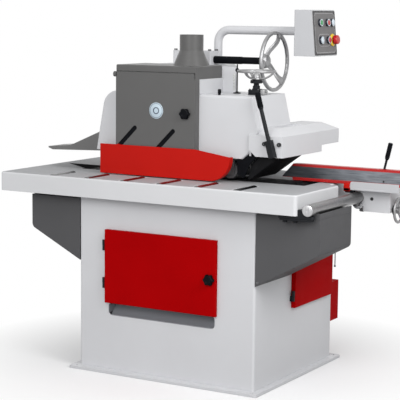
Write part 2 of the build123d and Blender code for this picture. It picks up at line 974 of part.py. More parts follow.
with BuildPart() as column:
    add(plan_prism(column_plan, base_thickness, column_shoulder_z))
    add(plan_prism(neck_plan, column_shoulder_z, arm_bottom))
    add(plan_prism(arm_plan, arm_bottom, arm_top))
    long_edges = column.edges().filter_by(Axis.X)
    crown_edge = long_edges.sort_by_distance(((column_left + arm_tail_x) / 2, column_back, arm_top))[0]
    fillet(crown_edge, column_fillet)
    column_hollow = (base_thickness, column_shoulder_z - column_wall)
    add(plan_prism(column_plan, *column_hollow, column_wall), mode=Mode.SUBTRACT)
    arm_hollow = (arm_bottom + column_wall, arm_top - column_wall)
    add(plan_prism(arm_plan, *arm_hollow, column_wall), mode=Mode.SUBTRACT)
    span_box(
        (column_left, hood_right + hood_sheet),
        (head_front + seat_fit, arm_front),
        (arm_bottom, plenum_bottom - seat_fit),
    )
    window_x = (arbor_x - motor_window_half, arbor_x + motor_window_half)
    for x in (window_x[0] - way_width, window_x[1]):
        span_box((x, x + way_width), (slide_face_y, column_front), (way_bottom, way_top))
    span_box(
        window_x,
        (slide_face_y, column_back),
        (arbor_z - motor_window_half, arbor_z + arbor_travel + motor_window_half),
        mode=Mode.SUBTRACT,
    )
    z_round(
        lift_screw_radius + 3,
        lift_screw_x,
        lift_axis_y,
        (arm_bottom, arm_top),
        mode=Mode.SUBTRACT,
    )
    collar_z = (arm_top, arm_top + pendant_collar_height)
    z_round(pendant_collar_radius, pendant_x, pendant_y, collar_z)
    z_round(pendant_radius + run_fit, pendant_x, pendant_y, collar_z, mode=Mode.SUBTRACT)


def head_outline(inset, bottom):
    # Front outline of the head casting, drawn in by the inset, down to the given height.
    return [
        (head_left_low + inset, bottom),
        (head_right_low - inset - (0 if inset else head_shoulder - 4), bottom),
        (head_right_low - inset, head_bottom + head_shoulder - 10),
        (head_right_mid - inset, head_bottom + 126),
        (head_right_high - inset, arm_bottom - inset),
        (head_left_high + inset, arm_bottom - inset),
    ]


def head_prism(front, back, inset=0):
    # The head's form between two planes, its outfeed shoulder rounded.
    with BuildPart() as prism:
        with BuildSketch(front_plane(back)):
            with BuildLine():
                Polyline(*head_outline(inset, head_bottom), close=True)
            make_face()
            top_corners = vertices().sort_by(Axis.Y)[-2:]
            fillet(top_corners.sort_by(Axis.X)[0], head_crown_radius - inset)
        extrude(amount=back - front)
    return prism.part


# Head housing: an open-bottomed casting under the arm, with posts for the press carriages
outfeed_posts = ((outfeed_roller_x + 58, 6), (outfeed_roller_x + 58, 44))
infeed_post = (2 * infeed_roller_x - press_screw_x, press_screw_y)
with BuildPart() as head_housing:
    add(head_prism(head_front, head_back))
    front_edges = head_housing.faces().sort_by(Axis.Y)[0].edges()
    fillet(front_edges.sort_by(Axis.Z)[1:], head_edge_radius)
    add(head_prism(head_front + head_wall, head_back - head_wall, head_wall), mode=Mode.SUBTRACT)
    span_box(
        (hood_left + 4 * hood_sheet, hood_right - 4 * hood_sheet),
        (head_front, head_front + head_wall),
        (head_bottom, arm_bottom - 2 * head_wall),
        mode=Mode.SUBTRACT,
    )
    span_box(
        (arbor_x - arbor_housing_radius - 8, arbor_x + arbor_housing_radius + 8),
        (head_back - head_wall, head_back),
        (head_bottom, arbor_z + arbor_travel + arbor_housing_radius + 8),
        mode=Mode.SUBTRACT,
    )
    for x, y in (infeed_post, *outfeed_posts):
        z_round(press_post_radius, x, y, (post_bottom, arm_bottom - head_wall))
    top_wall = (arm_bottom - head_wall, arm_bottom)
    z_round(press_screw_radius + 1, press_screw_x, press_screw_y, top_wall, mode=Mode.SUBTRACT)
    z_round(indicator_radius + seat_fit, indicator_x, indicator_y, top_wall, mode=Mode.SUBTRACT)

# Arbor housing with its slide plate, lift nut and bearings
nut_z = (arbor_z - lift_nut_height / 4, arbor_z + 3 * lift_nut_height / 4)
plate_front = slide_face_y - slide_plate_thickness
with BuildPart() as arbor_housing:
    span_box(
        (window_x[0] - way_width, window_x[1] + way_width),
        (plate_front, slide_face_y - run_fit),
        (arbor_z - slide_plate_height / 2, arbor_z + slide_plate_height / 2),
    )
    y_round(arbor_housing_radius, arbor_x, (housing_nose_y, plate_front), arbor_z)
    span_box(
        (lift_screw_x - lift_nut_half, arbor_x),
        (lift_axis_y - lift_nut_half, lift_axis_y + lift_nut_half),
        nut_z,
    )
    y_round(arbor_bearing_radius, arbor_x, (housing_nose_y, slide_face_y), arbor_z, mode=Mode.SUBTRACT)
    z_round(lift_screw_radius + run_fit, lift_screw_x, lift_axis_y, nut_z, mode=Mode.SUBTRACT)

bearing_starts = (housing_nose_y + 4, plate_front - arbor_bearing_width)
with BuildPart() as arbor_bearings:
    for y in bearing_starts:
        y_round(arbor_bearing_radius, arbor_x, (y, y + arbor_bearing_width), arbor_z)
        y_round(arbor_radius + run_fit, arbor_x, (y, y + arbor_bearing_width), arbor_z, mode=Mode.SUBTRACT)

# Saw motor: flange on the slide plate, finned body through the column window, fan cowl behind
motor_start = slide_face_y - run_fit
motor_end = motor_start + saw_motor_length
with BuildPart() as saw_motor:
    y_round(saw_motor_radius, arbor_x, (motor_start, motor_end), arbor_z)
    fillet(saw_motor.faces().sort_by(Axis.Y)[-1].edges(), 14)
    with BuildSketch(front_plane(motor_end - 80)):
        with Locations((arbor_x, arbor_z)):
            with PolarLocations(saw_motor_radius + fin_height / 2 - 2, saw_motor_fins):
                Rectangle(fin_height + 4, 6)
    extrude(amount=saw_motor_length - 80 - 40)
    terminal_x = arbor_x - saw_motor_radius
    for x, margin in (((terminal_x - 42, terminal_x + 20), 0), ((terminal_x - 48, terminal_x - 42), 3)):
        lid_y = (motor_end - 108 + margin, motor_end - 28 - margin)
        span_box(x, lid_y, (arbor_z - 40 + margin, arbor_z + 40 - margin))
    with BuildSketch(front_plane(motor_end)):
        with Locations((arbor_x, arbor_z)):
            with PolarLocations(saw_motor_radius * 0.55, 12):
                Rectangle(46, 7)
    extrude(amount=4, mode=Mode.SUBTRACT)
    y_round(arbor_radius + 1, arbor_x, (motor_start, motor_start + 40), arbor_z, mode=Mode.SUBTRACT)

# Arbor, blade and clamp pieces
blade_back = chain_y + blade_thickness / 2
blade_front = chain_y - blade_thickness / 2
with BuildPart() as arbor_shaft:
    arbor_tip = blade_front - blade_flange_thickness - arbor_nut_length - 6
    y_round(arbor_radius, arbor_x, (arbor_tip, motor_start + 30), arbor_z)
    y_round(blade_flange_radius, arbor_x, (blade_back, blade_back + blade_flange_thickness), arbor_z)

tooth_angle = 2 * pi / blade_teeth
tooth_depth = 9
gullet_radius = blade_radius - tooth_depth - 2
with BuildPart() as saw_blade:
    with BuildSketch(front_plane(blade_back)):
        with Locations((arbor_x, arbor_z)):
            Circle(blade_radius - tooth_depth)
        with BuildLine():
            rim_points = []
            for k in range(blade_teeth):
                for share, reach in ((0, blade_radius), (0.3, blade_radius - 2), (0.75, gullet_radius)):
                    turn = (k + share) * tooth_angle
                    rim_points.append((arbor_x + reach * cos(turn), arbor_z + reach * sin(turn)))
            Polyline(*rim_points, close=True)
        make_face()
        with Locations((arbor_x, arbor_z)):
            Circle(arbor_radius, mode=Mode.SUBTRACT)
    extrude(amount=blade_thickness)

with BuildPart() as blade_clamp:
    flange_front = blade_front - blade_flange_thickness
    y_round(blade_flange_radius, arbor_x, (flange_front, blade_front), arbor_z)
    with BuildSketch(front_plane(flange_front)):
        with Locations((arbor_x, arbor_z)):
            RegularPolygon(arbor_nut_radius / cos(pi / 6), 6)
    extrude(amount=arbor_nut_length)
    nut_front = flange_front - arbor_nut_length
    y_round(arbor_radius, arbor_x, (nut_front, blade_front), arbor_z, mode=Mode.SUBTRACT)

# Lift gear block on the arm, shaft sleeve, lift screw and big hand wheel
block_z = (arm_top, arm_top + gear_block_height)
shaft_bore = lift_shaft_radius + run_fit
with BuildPart() as gear_block:
    span_box((gear_block_left, gear_block_right), (gear_block_front, gear_block_back), block_z)
    fillet(gear_block.edges().filter_by(Axis.Z), 6)
    cavity_half = bevel_radius + 4
    span_box(
        (lift_screw_x - cavity_half, lift_screw_x + cavity_half),
        (lift_axis_y - cavity_half, lift_axis_y + cavity_half),
        (arm_top, arm_top + gear_block_height - gear_block_wall),
        mode=Mode.SUBTRACT,
    )
    x_round(shaft_bore, (lift_screw_x, gear_block_right), lift_axis_y, lift_shaft_z, mode=Mode.SUBTRACT)

with BuildPart() as shaft_sleeve:
    x_round(sleeve_radius, (gear_block_right, sleeve_end_x), lift_axis_y, lift_shaft_z)
    chamfer(shaft_sleeve.edges().filter_by(GeomType.CIRCLE), 1.5)
    x_round(shaft_bore, (gear_block_right, sleeve_end_x), lift_axis_y, lift_shaft_z, mode=Mode.SUBTRACT)

bevel_back = bevel_radius + 1
with BuildPart() as lift_screw:
    z_round(lift_screw_radius, lift_screw_x, lift_axis_y, (nut_z[0], lift_shaft_z - bevel_back + 1))
    with BuildSketch(Plane.XY.offset(lift_shaft_z - bevel_back)):
        with Locations((lift_screw_x, lift_axis_y)):
            Circle(bevel_radius - 1)
    extrude(amount=8, taper=42)

wheel_plane = Plane(
    origin=(sleeve_end_x + seat_fit, lift_axis_y, lift_shaft_z),
    x_dir=(0, 1, 0),
    z_dir=(1, 0, 0),
)
with BuildPart() as arbor_wheel:
    add(
        hand_wheel(
            arbor_wheel_radius,
            arbor_wheel_rim,
            arbor_wheel_hub_radius,
            arbor_wheel_hub_length,
            arbor_wheel_dish,
            lift_shaft_radius / 2,
            3,
        ).moved(wheel_plane.location)
    )
    hub_end = sleeve_end_x + seat_fit + arbor_wheel_hub_length
    x_round(lift_shaft_radius, (lift_screw_x + bevel_back - 1, hub_end + 6), lift_axis_y, lift_shaft_z)
    with BuildSketch(side_plane(lift_screw_x + bevel_back)):
        with Locations((lift_axis_y, lift_shaft_z)):
            Circle(bevel_radius - 1)
    extrude(amount=-8, taper=42)

# Press carriages, their rollers, the screw with the small hand wheel and the thickness rod
block_top = press_block_z + press_block_height
cheek_front = (press_roller_front - press_cheek - 1, press_roller_front - 1)
cheek_back = (press_roller_back + 1, press_roller_back + press_cheek + 1)
with BuildPart() as infeed_press:
    span_box(
        (infeed_post[0] - press_post_radius - 6, press_screw_x + press_screw_radius + 6),
        (cheek_front[0], cheek_back[1]),
        (press_block_z, block_top),
    )
    for cheek in (cheek_front, cheek_back):
        span_box((infeed_roller_x - 24, infeed_roller_x + 24), cheek, (press_roller_z - 18, press_block_z))
    y_round(press_axle_radius, infeed_roller_x, (cheek_front[0], cheek_back[1]), press_roller_z)
    z_round(
        press_screw_radius + run_fit,
        press_screw_x,
        press_screw_y,
        (press_block_z, block_top),
        mode=Mode.SUBTRACT,
    )
    z_round(press_post_radius + run_fit, *infeed_post, (press_block_z, block_top), mode=Mode.SUBTRACT)

with BuildPart() as outfeed_press:
    span_box(
        (outfeed_roller_x - 34, outfeed_roller_x + 34),
        (cheek_front[0], cheek_back[1]),
        (press_block_z, block_top),
    )
    span_box(
        (outfeed_roller_x, outfeed_posts[0][0] + press_post_radius + 9),
        (outfeed_posts[0][1] - 20, outfeed_posts[1][1] + 20),
        (press_block_z, block_top),
    )
    for cheek in (cheek_front, cheek_back):
        span_box((outfeed_roller_x - 24, outfeed_roller_x + 24), cheek, (press_roller_z - 18, press_block_z))
    y_round(press_axle_radius, outfeed_roller_x, (cheek_front[0], cheek_back[1]), press_roller_z)
    for x, y in outfeed_posts:
        z_round(press_post_radius + run_fit, x, y, (press_block_z, block_top), mode=Mode.SUBTRACT)


def press_roller(x):
    # A grooved rubber-faced roller on the carriage's axle.
    length = press_roller_back - press_roller_front
    groove = length / (2 * press_roller_grooves + 1)
    with BuildPart() as roller:
        y_round(press_roller_radius, x, (press_roller_front, press_roller_back), press_roller_z)
        for k in range(press_roller_grooves):
            start = press_roller_front + (2 * k + 1) * groove
            y_round(press_roller_radius, x, (start, start + groove), press_roller_z, mode=Mode.SUBTRACT)
        y_round(press_roller_radius - 4, x, (press_roller_front, press_roller_back), press_roller_z)
        y_round(
            press_axle_radius + run_fit,
            x,
            (press_roller_front, press_roller_back),
            press_roller_z,
            mode=Mode.SUBTRACT,
        )
    return roller


infeed_roller = press_roller(infeed_roller_x)
outfeed_roller = press_roller(outfeed_roller_x)

with BuildPart() as bearing_block:
    block_x = (press_screw_x - bearing_block_left, press_screw_x + bearing_block_right)
    block_y = (press_screw_y - bearing_block_half, press_screw_y + bearing_block_half)
    block_top_z = arm_bottom + bearing_block_height
    collar_top_z = block_top_z + bearing_collar_height
    span_box(block_x, block_y, (arm_bottom, block_top_z))
    fillet(bearing_block.edges().filter_by(Axis.Z), 5)
    z_round(bearing_collar_radius, press_screw_x, press_screw_y, (block_top_z, collar_top_z))
    z_round(
        press_screw_radius + run_fit,
        press_screw_x,
        press_screw_y,
        (arm_bottom, collar_top_z),
        mode=Mode.SUBTRACT,
    )

with BuildPart() as press_wheel:
    wheel_bottom = collar_top_z + seat_fit
    z_round(press_screw_radius, press_screw_x, press_screw_y, (press_block_z, wheel_bottom + 1))
    z_round(26, press_screw_x, press_screw_y, (wheel_bottom, wheel_bottom + 14))
    small_hub = 26
    add(
        hand_wheel(
            press_wheel_radius,
            press_wheel_rim,
            16,
            small_hub,
            press_wheel_z - wheel_bottom - 14 - small_hub / 2,
            press_screw_radius / 2,
            3,
        ).moved(Location((press_screw_x, press_screw_y, wheel_bottom + 14)))
    )

with BuildPart() as thickness_rod:
    rod_z = (block_top, indicator_top + indicator_tip)
    z_round(indicator_radius, indicator_x, indicator_y, rod_z)
    with Locations((indicator_x, indicator_y, indicator_top)):
        Sphere(indicator_ball)

# Dust hood: shallow front frame, plenum over the head, hinge rod and the hose port
with BuildPart() as dust_hood:
    with BuildSketch(side_plane(hood_left)):
        with BuildLine():
            Polyline(
                (hood_front, hood_bottom),
                (head_front, hood_bottom),
                (head_front, plenum_bottom),
                (plenum_back, plenum_bottom),
                (plenum_back, hood_top),
                (hood_front, hood_top),
                close=True,
            )
        make_face()
    extrude(amount=hood_right - hood_left)
    top_edges = dust_hood.faces().sort_by(Axis.Z)[-1].edges()
    fillet(top_edges.filter_by(Axis.Y) + top_edges.filter_by(Axis.X).sort_by(Axis.Y)[:1], 5)
    with BuildSketch(Plane.XY.offset(hood_top - hood_sheet)):
        with Locations((port_x, port_y)):
            Circle(port_base_radius)
    with BuildSketch(Plane.XY.offset(hood_top + port_taper_height)):
        with Locations((port_x, port_y)):
            Circle(port_radius)
    loft()
    port_z = (hood_top + port_taper_height, hood_top + port_taper_height + port_collar_height)
    z_round(port_radius, port_x, port_y, port_z)
    with BuildSketch(Plane.XY.offset(hood_top - hood_sheet)):
        with Locations((port_x, port_y)):
            Circle(port_base_radius - hood_sheet)
    with BuildSketch(Plane.XY.offset(hood_top + port_taper_height)):
        with Locations((port_x, port_y)):
            Circle(port_radius - hood_sheet)
    loft(mode=Mode.SUBTRACT)
    z_round(port_radius - hood_sheet, port_x, port_y, port_z, mode=Mode.SUBTRACT)
    hood_inner_x = (hood_left + hood_sheet, hood_right - hood_sheet)
    span_box(
        hood_inner_x,
        (hood_front + hood_sheet, plenum_back - hood_sheet),
        (plenum_bottom + hood_sheet, hood_top - hood_sheet),
        mode=Mode.SUBTRACT,
    )
    span_box(
        hood_inner_x,
        (hood_front, head_front),
        (hood_bottom, plenum_bottom + 2 * hood_sheet),
        mode=Mode.SUBTRACT,
    )
    span_box(
        hood_inner_x,
        (hood_front, hood_front + hood_sheet),
        (plenum_bottom, hood_hinge_z + hood_hinge_swing),
        mode=Mode.SUBTRACT,
    )
    x_round(hood_hinge_pin, (hood_left - 8, hood_right), hood_hinge_y, hood_hinge_z)
    x_round(hood_pin_head, (hood_left - 14, hood_left), hood_hinge_y, hood_hinge_z)

# Hood door, hung from the hinge rod, with the guard's two slots
hood_door_face = hood_front - hood_door_gap - hood_door_sheet
slot_run = slot_travel + 4
slot_step = slot_run / 2 / 2**0.5
slot_starts = ((slot_left_x, slot_z), (slot_left_x + slot_spacing, slot_z - 6))
knuckle_x = (hood_left + hood_sheet + 2, hood_right - hood_sheet - 2)
with BuildPart() as hood_door:
    door_y = (hood_door_face, hood_door_face + hood_door_sheet)
    door_shoulder_z = hood_hinge_z - hood_knuckle - 1
    span_box((hood_left, hood_right), door_y, (hood_bottom, door_shoulder_z))
    span_box(knuckle_x, door_y, (door_shoulder_z, hood_hinge_z + hood_door_lip))
    x_round(hood_knuckle, knuckle_x, hood_hinge_y, hood_hinge_z)
    x_round(hood_hinge_pin + run_fit, knuckle_x, hood_hinge_y, hood_hinge_z, mode=Mode.SUBTRACT)
    with BuildSketch(front_plane(hood_door_face + hood_door_sheet)):
        for x, z in slot_starts:
            with Locations(Location((x + slot_step, z + slot_step), 45)):
                SlotCenterToCenter(slot_run, 2 * slot_radius)
    extrude(amount=hood_door_sheet, mode=Mode.SUBTRACT)
    y_round(
        knob_stem_radius + run_fit,
        hood_knob_x,
        (hood_door_face, hood_door_face + hood_door_sheet),
        hood_knob_z,
        mode=Mode.SUBTRACT,
    )

with BuildPart() as hood_knob:
    hood_knob_place = Plane(
        origin=(hood_knob_x, hood_door_face, hood_knob_z), x_dir=(1, 0, 0), z_dir=(0, -1, 0)
    )
    add(
        star_knob(knob_radius, knob_lobes, knob_thickness, knob_stem_radius, hood_door_sheet + 6).moved(
            hood_knob_place.location
        )
    )

# Red blade guard: a plate with a ski nose, flanged along its lower edge, on two studs
with BuildPart() as blade_guard:
    with BuildSketch(front_plane(guard_front + guard_sheet)):
        with BuildLine():
            Polyline(
                (guard_right - guard_nose_radius, guard_bottom),
                (guard_left, guard_bottom),
                (guard_left, guard_top),
                (guard_shoulder_x, guard_top),
                (guard_right, guard_nose_top),
            )
            nose_end = (guard_right - guard_nose_radius, guard_bottom)
            nose_middle = (guard_right - guard_nose_radius * 0.26, guard_bottom + guard_nose_radius * 0.42)
            ThreePointArc((guard_right, guard_nose_top), nose_middle, nose_end)
        make_face()
    extrude(amount=guard_sheet)
    with BuildSketch(front_plane(guard_flange_back)):
        with BuildLine():
            Line((guard_left, guard_bottom), nose_end)
            ThreePointArc(nose_end, nose_middle, (guard_right, guard_nose_top))
            offset(amount=guard_sheet, side=Side.LEFT)
        make_face()
    extrude(amount=guard_flange_back - guard_front)
    stud_radius = slot_radius - slot_stud_clearance
    for x, z in slot_starts:
        y_round(stud_radius, x, (guard_front, hood_door_face + hood_door_sheet), z)

# Anti-kickback hood: open below, sloped top edges, bearing web and stop pins for the lever
with BuildPart() as kickback_hood:
    with BuildSketch(Plane.XY.offset(kick_bottom)):
        with Locations(((kick_left + kick_right) / 2, (kick_front + kick_back) / 2)):
            Rectangle(kick_right - kick_left, kick_back - kick_front)
    extrude(amount=kick_top - kick_bottom)
    top_face = kickback_hood.faces().sort_by(Axis.Z)[-1]
    slope_edges = top_face.edges().sort_by(Axis.X)[1:]
    chamfer(slope_edges, kick_slope_width, kick_top - kick_edge_top, reference=top_face)
    span_box(
        (kick_left + kick_wall, kick_right - kick_wall),
        (kick_front + kick_wall, kick_back - kick_wall),
        (kick_bottom, kick_edge_top - kick_wall),
        mode=Mode.SUBTRACT,
    )
    span_box(
        (kick_left, kick_right),
        (kick_step_y, kick_back),
        (kick_bottom, kick_back_bottom),
        mode=Mode.SUBTRACT,
    )
    web_y = (finger_end_y + 30, finger_end_y + 30 + kick_wall)
    span_box(
        (finger_shaft_x - finger_hub_radius, kick_right - kick_wall / 2),
        web_y,
        (kick_bottom, kick_edge_top - kick_wall / 2),
    )
    span_box(
        (head_right_mid + kick_wall, kick_right - kick_slope_width - kick_wall),
        (kick_front + 2 * kick_slope_width, kick_step_y - kick_slope_width),
        (kick_top - kick_recess_depth, kick_top),
        mode=Mode.SUBTRACT,
    )
    add(head_prism(head_front, head_back), mode=Mode.SUBTRACT)
    with BuildSketch(front_plane(kick_front + kick_wall)):
        with BuildLine():
            Polyline(
                (kick_left, kick_bottom),
                (kick_left + kick_corner_width, kick_bottom),
                (kick_left, kick_bottom + kick_corner_height),
                close=True,
            )
        make_face()
    extrude(amount=kick_wall, mode=Mode.SUBTRACT)
    shaft_hole = finger_shaft_radius + run_fit
    for wall_y in ((kick_front, kick_front + kick_wall), web_y):
        y_round(shaft_hole, finger_shaft_x, wall_y, finger_shaft_z, mode=Mode.SUBTRACT)
    for x in (stop_pin_left_x, stop_pin_right_x):
        pin_front = lever_front - stop_pin_reach
        y_round(stop_pin_radius, x, (pin_front, kick_front + kick_wall / 2), stop_pin_z)

# Release lever with the finger shaft
lean = radians(lever_lean)
lever_mid_y = lever_front - lever_block_depth / 2
lever_plane = Plane(
    origin=(finger_shaft_x, lever_mid_y, finger_shaft_z),
    x_dir=(cos(lean), 0, sin(lean)),
    z_dir=(-sin(lean), 0, cos(lean)),
)
with BuildPart() as kickback_lever:
    with BuildSketch(lever_plane.offset(-lever_block_length / 4)):
        RectangleRounded(lever_block_width, lever_block_depth, 4)
    extrude(amount=lever_block_length)
    with BuildSketch(lever_plane.offset(lever_block_length / 2)):
        Circle(lever_rod_radius)
    extrude(amount=lever_length - lever_grip_length - lever_block_length / 2 + 4)
    with BuildSketch(lever_plane.offset(lever_length - lever_grip_length)):
        Circle(lever_grip_radius)
    extrude(amount=lever_grip_length)
    grip_ends = kickback_lever.edges().filter_by(GeomType.CIRCLE).filter_by(
        lambda edge: abs(edge.radius - lever_grip_radius) < 0.01
    )
    fillet(grip_ends, lever_grip_round)
    y_round(finger_shaft_radius, finger_shaft_x, (lever_mid_y, web_y[1] + 4), finger_shaft_z)

# Anti-kickback fingers side by side on the shaft
finger_shape = (
    (-finger_hub_radius * 0.9, finger_hub_radius * 0.4),
    (-finger_reach_x * 0.6, -finger_reach_z * 0.17),
    (-finger_reach_x * 0.87, -finger_reach_z * 0.46),
    (-finger_reach_x, -finger_reach_z),
    (-finger_reach_x + 7, -finger_reach_z),
    (finger_hub_radius * 0.6, -finger_hub_radius * 0.8),
)
finger_points = [(finger_shaft_x + x, finger_shaft_z + z) for x, z in finger_shape]
with BuildPart() as finger_row:
    for k in range(finger_count):
        y = finger_first_y + k * finger_pitch
        with BuildSketch(front_plane(y + finger_thickness / 2)):
            with Locations((finger_shaft_x, finger_shaft_z)):
                Circle(finger_hub_radius)
            with BuildLine():
                Polyline(*finger_points, close=True)
            make_face()
            with Locations((finger_shaft_x, finger_shaft_z)):
                Circle(shaft_hole, mode=Mode.SUBTRACT)
        extrude(amount=finger_thickness)

# Outfeed deflector on the head's outfeed end
deflector_knee_z = deflector_bottom + deflector_knee_rise
deflector_tip_z = deflector_bottom - deflector_tip_drop
deflector_points = [
    (deflector_tip_x + deflector_nose, deflector_tip_z),
    (deflector_tip_x, deflector_tip_z + deflector_nose_rise),
    (deflector_tip_x, deflector_tip_z + deflector_nose_rise + deflector_lip),
    (deflector_tip_x + deflector_knee_x, deflector_knee_z),
    (deflector_tip_x + deflector_slope_x, deflector_top),
    (head_left_high, deflector_top),
    (head_left_high, deflector_bottom),
]
with BuildPart() as outfeed_deflector:
    with BuildSketch(front_plane(deflector_back)):
        with BuildLine():
            Polyline(*deflector_points, close=True)
        make_face()
    extrude(amount=deflector_back - deflector_front)
    with BuildSketch(front_plane(deflector_back - deflector_sheet)):
        with BuildLine():
            Polyline(
                (deflector_tip_x + 2 * deflector_nose, deflector_tip_z),
                (deflector_tip_x + deflector_knee_x, deflector_knee_z - deflector_sheet),
                (deflector_tip_x + deflector_slope_x, deflector_top - deflector_sheet),
                (head_left_high, deflector_top - deflector_sheet),
                (head_left_high, deflector_tip_z),
                close=True,
            )
        make_face()
    extrude(amount=deflector_back - deflector_front - 2 * deflector_sheet, mode=Mode.SUBTRACT)
    add(head_prism(head_front, head_back), mode=Mode.SUBTRACT)
    span_box(
        (head_left_low, head_left_high),
        (deflector_front, deflector_back),
        (deflector_tip_z, head_bottom),
        mode=Mode.SUBTRACT,
    )

# Fence rail with a rack along its underside
rack_pitch = pi * rack_module
rack_line_z = rack_root_z - 1.25 * rack_module
flank = tan(radians(20))
tip_half = rack_pitch / 4 - rack_module * flank
root_half = rack_pitch / 4 + 1.25 * rack_module * flank
first_tooth = round((rack_start_y - pinion_y) / rack_pitch)
last_tooth = round((rack_end_y - pinion_y) / rack_pitch)
rack_points = []
for k in range(first_tooth, last_tooth):
    tooth_y = pinion_y + (k + 0.5) * rack_pitch
    rack_points.append((tooth_y - root_half, rack_root_z))
    rack_points.append((tooth_y - tip_half, rack_line_z - rack_module))
    rack_points.append((tooth_y + tip_half, rack_line_z - rack_module))
    rack_points.append((tooth_y + root_half, rack_root_z))
with BuildPart() as fence_rail:
    y_round(rail_radius, rail_x, (rail_front, rail_back), rail_z)
    chamfer(fence_rail.edges().filter_by(GeomType.CIRCLE), 2)
    with BuildSketch(side_plane(rail_x - rack_width / 2)):
        with BuildLine():
            Polyline(
                *rack_points,
                (rack_points[-1][0], rail_z - rail_radius / 2),
                (rack_points[0][0], rail_z - rail_radius / 2),
                close=True,
            )
        make_face()
    extrude(amount=rack_width)

# Brackets bolted under the table that carry the rail's ends
with BuildPart() as rail_brackets:
    front_ends = (rail_front + 4, rail_front + 4 + bracket_width)
    back_ends = (table_back_reach - bracket_width, table_back_reach)
    foot_z = (cabinet_top - bracket_foot_thickness, cabinet_top)
    for ends, table_end in ((front_ends, table_infeed_reach), (back_ends, notch_x)):
        span_box((bracket_foot_inner - table_infeed_reach + table_end, rail_x + 17), ends, foot_z)
        span_box((table_end, rail_x), ends, (cabinet_top, rail_z))
    y_round(rail_radius, rail_x, (rail_front, rail_back), rail_z, mode=Mode.SUBTRACT)

# Fence carriage: boss on the rail, gear case, top flange
with BuildPart() as fence_carriage:
    carriage_back = carriage_front + carriage_box_depth
    boss_back = carriage_front + carriage_boss_length
    y_round(carriage_boss_radius, rail_x, (carriage_front, boss_back), rail_z)
    span_box(
        (carriage_box_left, carriage_box_right),
        (carriage_front, carriage_back),
        (carriage_box_bottom, carriage_box_top),
    )
    fillet(fence_carriage.faces().sort_by(Axis.X)[-1].edges(), 5)
    span_box(
        (carriage_flange_left, carriage_box_left + 8),
        (carriage_front, boss_back),
        (rail_z, carriage_box_top),
    )
    span_box(
        (carriage_flange_left, carriage_box_right - 12),
        (fence_face_y - fence_base_lip, carriage_back),
        (carriage_box_top, fence_bottom),
    )
    y_round(rail_radius + run_fit, rail_x, (carriage_front, carriage_back), rail_z, mode=Mode.SUBTRACT)
    rack_room = rack_width / 2 + 6
    span_box(
        (rail_x - rack_room, rail_x + rack_room),
        (carriage_front, boss_back),
        (rail_z - carriage_boss_radius, rail_z),
        mode=Mode.SUBTRACT,
    )
    x_round(
        pinion_shaft_radius + run_fit,
        (carriage_box_left, carriage_box_right),
        pinion_y,
        pinion_z,
        mode=Mode.SUBTRACT,
    )

# Fence casting with a machined face, ribs, and a slot for the lock lever
lever_pivot_y = fence_face_y + fence_web + 11
lever_pivot_z = fence_top - fence_flange_thickness - 10
with BuildPart() as fence:
    base_front = fence_face_y - fence_base_lip
    base_top = fence_bottom + fence_base_thickness
    web_back = fence_face_y + fence_web
    with BuildSketch(side_plane(fence_left)):
        with BuildLine():
            Polyline(
                (base_front, fence_bottom),
                (base_front + fence_base_depth, fence_bottom),
                (base_front + fence_base_depth, base_top),
                (web_back, base_top),
                (web_back, fence_top - fence_flange_thickness),
                (fence_face_y + fence_flange_depth, fence_top - fence_flange_thickness),
                (fence_face_y + fence_flange_depth, fence_top),
                (fence_face_y, fence_top),
                (fence_face_y, base_top),
                (base_front, base_top),
                close=True,
            )
        make_face()
    extrude(amount=fence_length)
    with BuildSketch(front_plane(web_back)):
        with BuildLine():
            Polyline(
                (fence_left, fence_top),
                (fence_left - fence_nose, fence_nose_top),
                (fence_left - fence_nose, base_top),
                (fence_left, base_top),
                close=True,
            )
        make_face()
    extrude(amount=fence_web)
    rib_step = (fence_length - fence_web) / 3
    for x in [fence_left + k * rib_step for k in range(4)]:
        span_box(
            (x, x + fence_web),
            (web_back, fence_face_y + fence_flange_depth),
            (base_top, fence_top - fence_flange_thickness),
        )
    span_box(
        (fence_lever_x - 18, fence_lever_x + 20),
        (lever_pivot_y - 8, lever_pivot_y + 8),
        (fence_top - fence_flange_thickness, fence_top),
        mode=Mode.SUBTRACT,
    )
    y_round(5, fence_lever_x, (web_back, lever_pivot_y + 9), lever_pivot_z)

fence_lean = radians(fence_lever_lean)
fence_lever_plane = Plane(
    origin=(fence_lever_x, lever_pivot_y, lever_pivot_z),
    x_dir=(cos(fence_lean), 0, -sin(fence_lean)),
    z_dir=(sin(fence_lean), 0, cos(fence_lean)),
)
with BuildPart() as fence_lever:
    y_round(9, fence_lever_x, (lever_pivot_y - 7, lever_pivot_y + 7), lever_pivot_z)
    with BuildSketch(fence_lever_plane.offset(3)):
        Circle(5)
    extrude(amount=fence_lever_length - 10)
    with BuildSketch(fence_lever_plane.offset(fence_lever_length / 2)):
        Circle(9)
    extrude(amount=fence_lever_length / 2)
    hub_y = (lever_pivot_y - 7, lever_pivot_y + 7)
    y_round(5 + run_fit, fence_lever_x, hub_y, lever_pivot_z, mode=Mode.SUBTRACT)

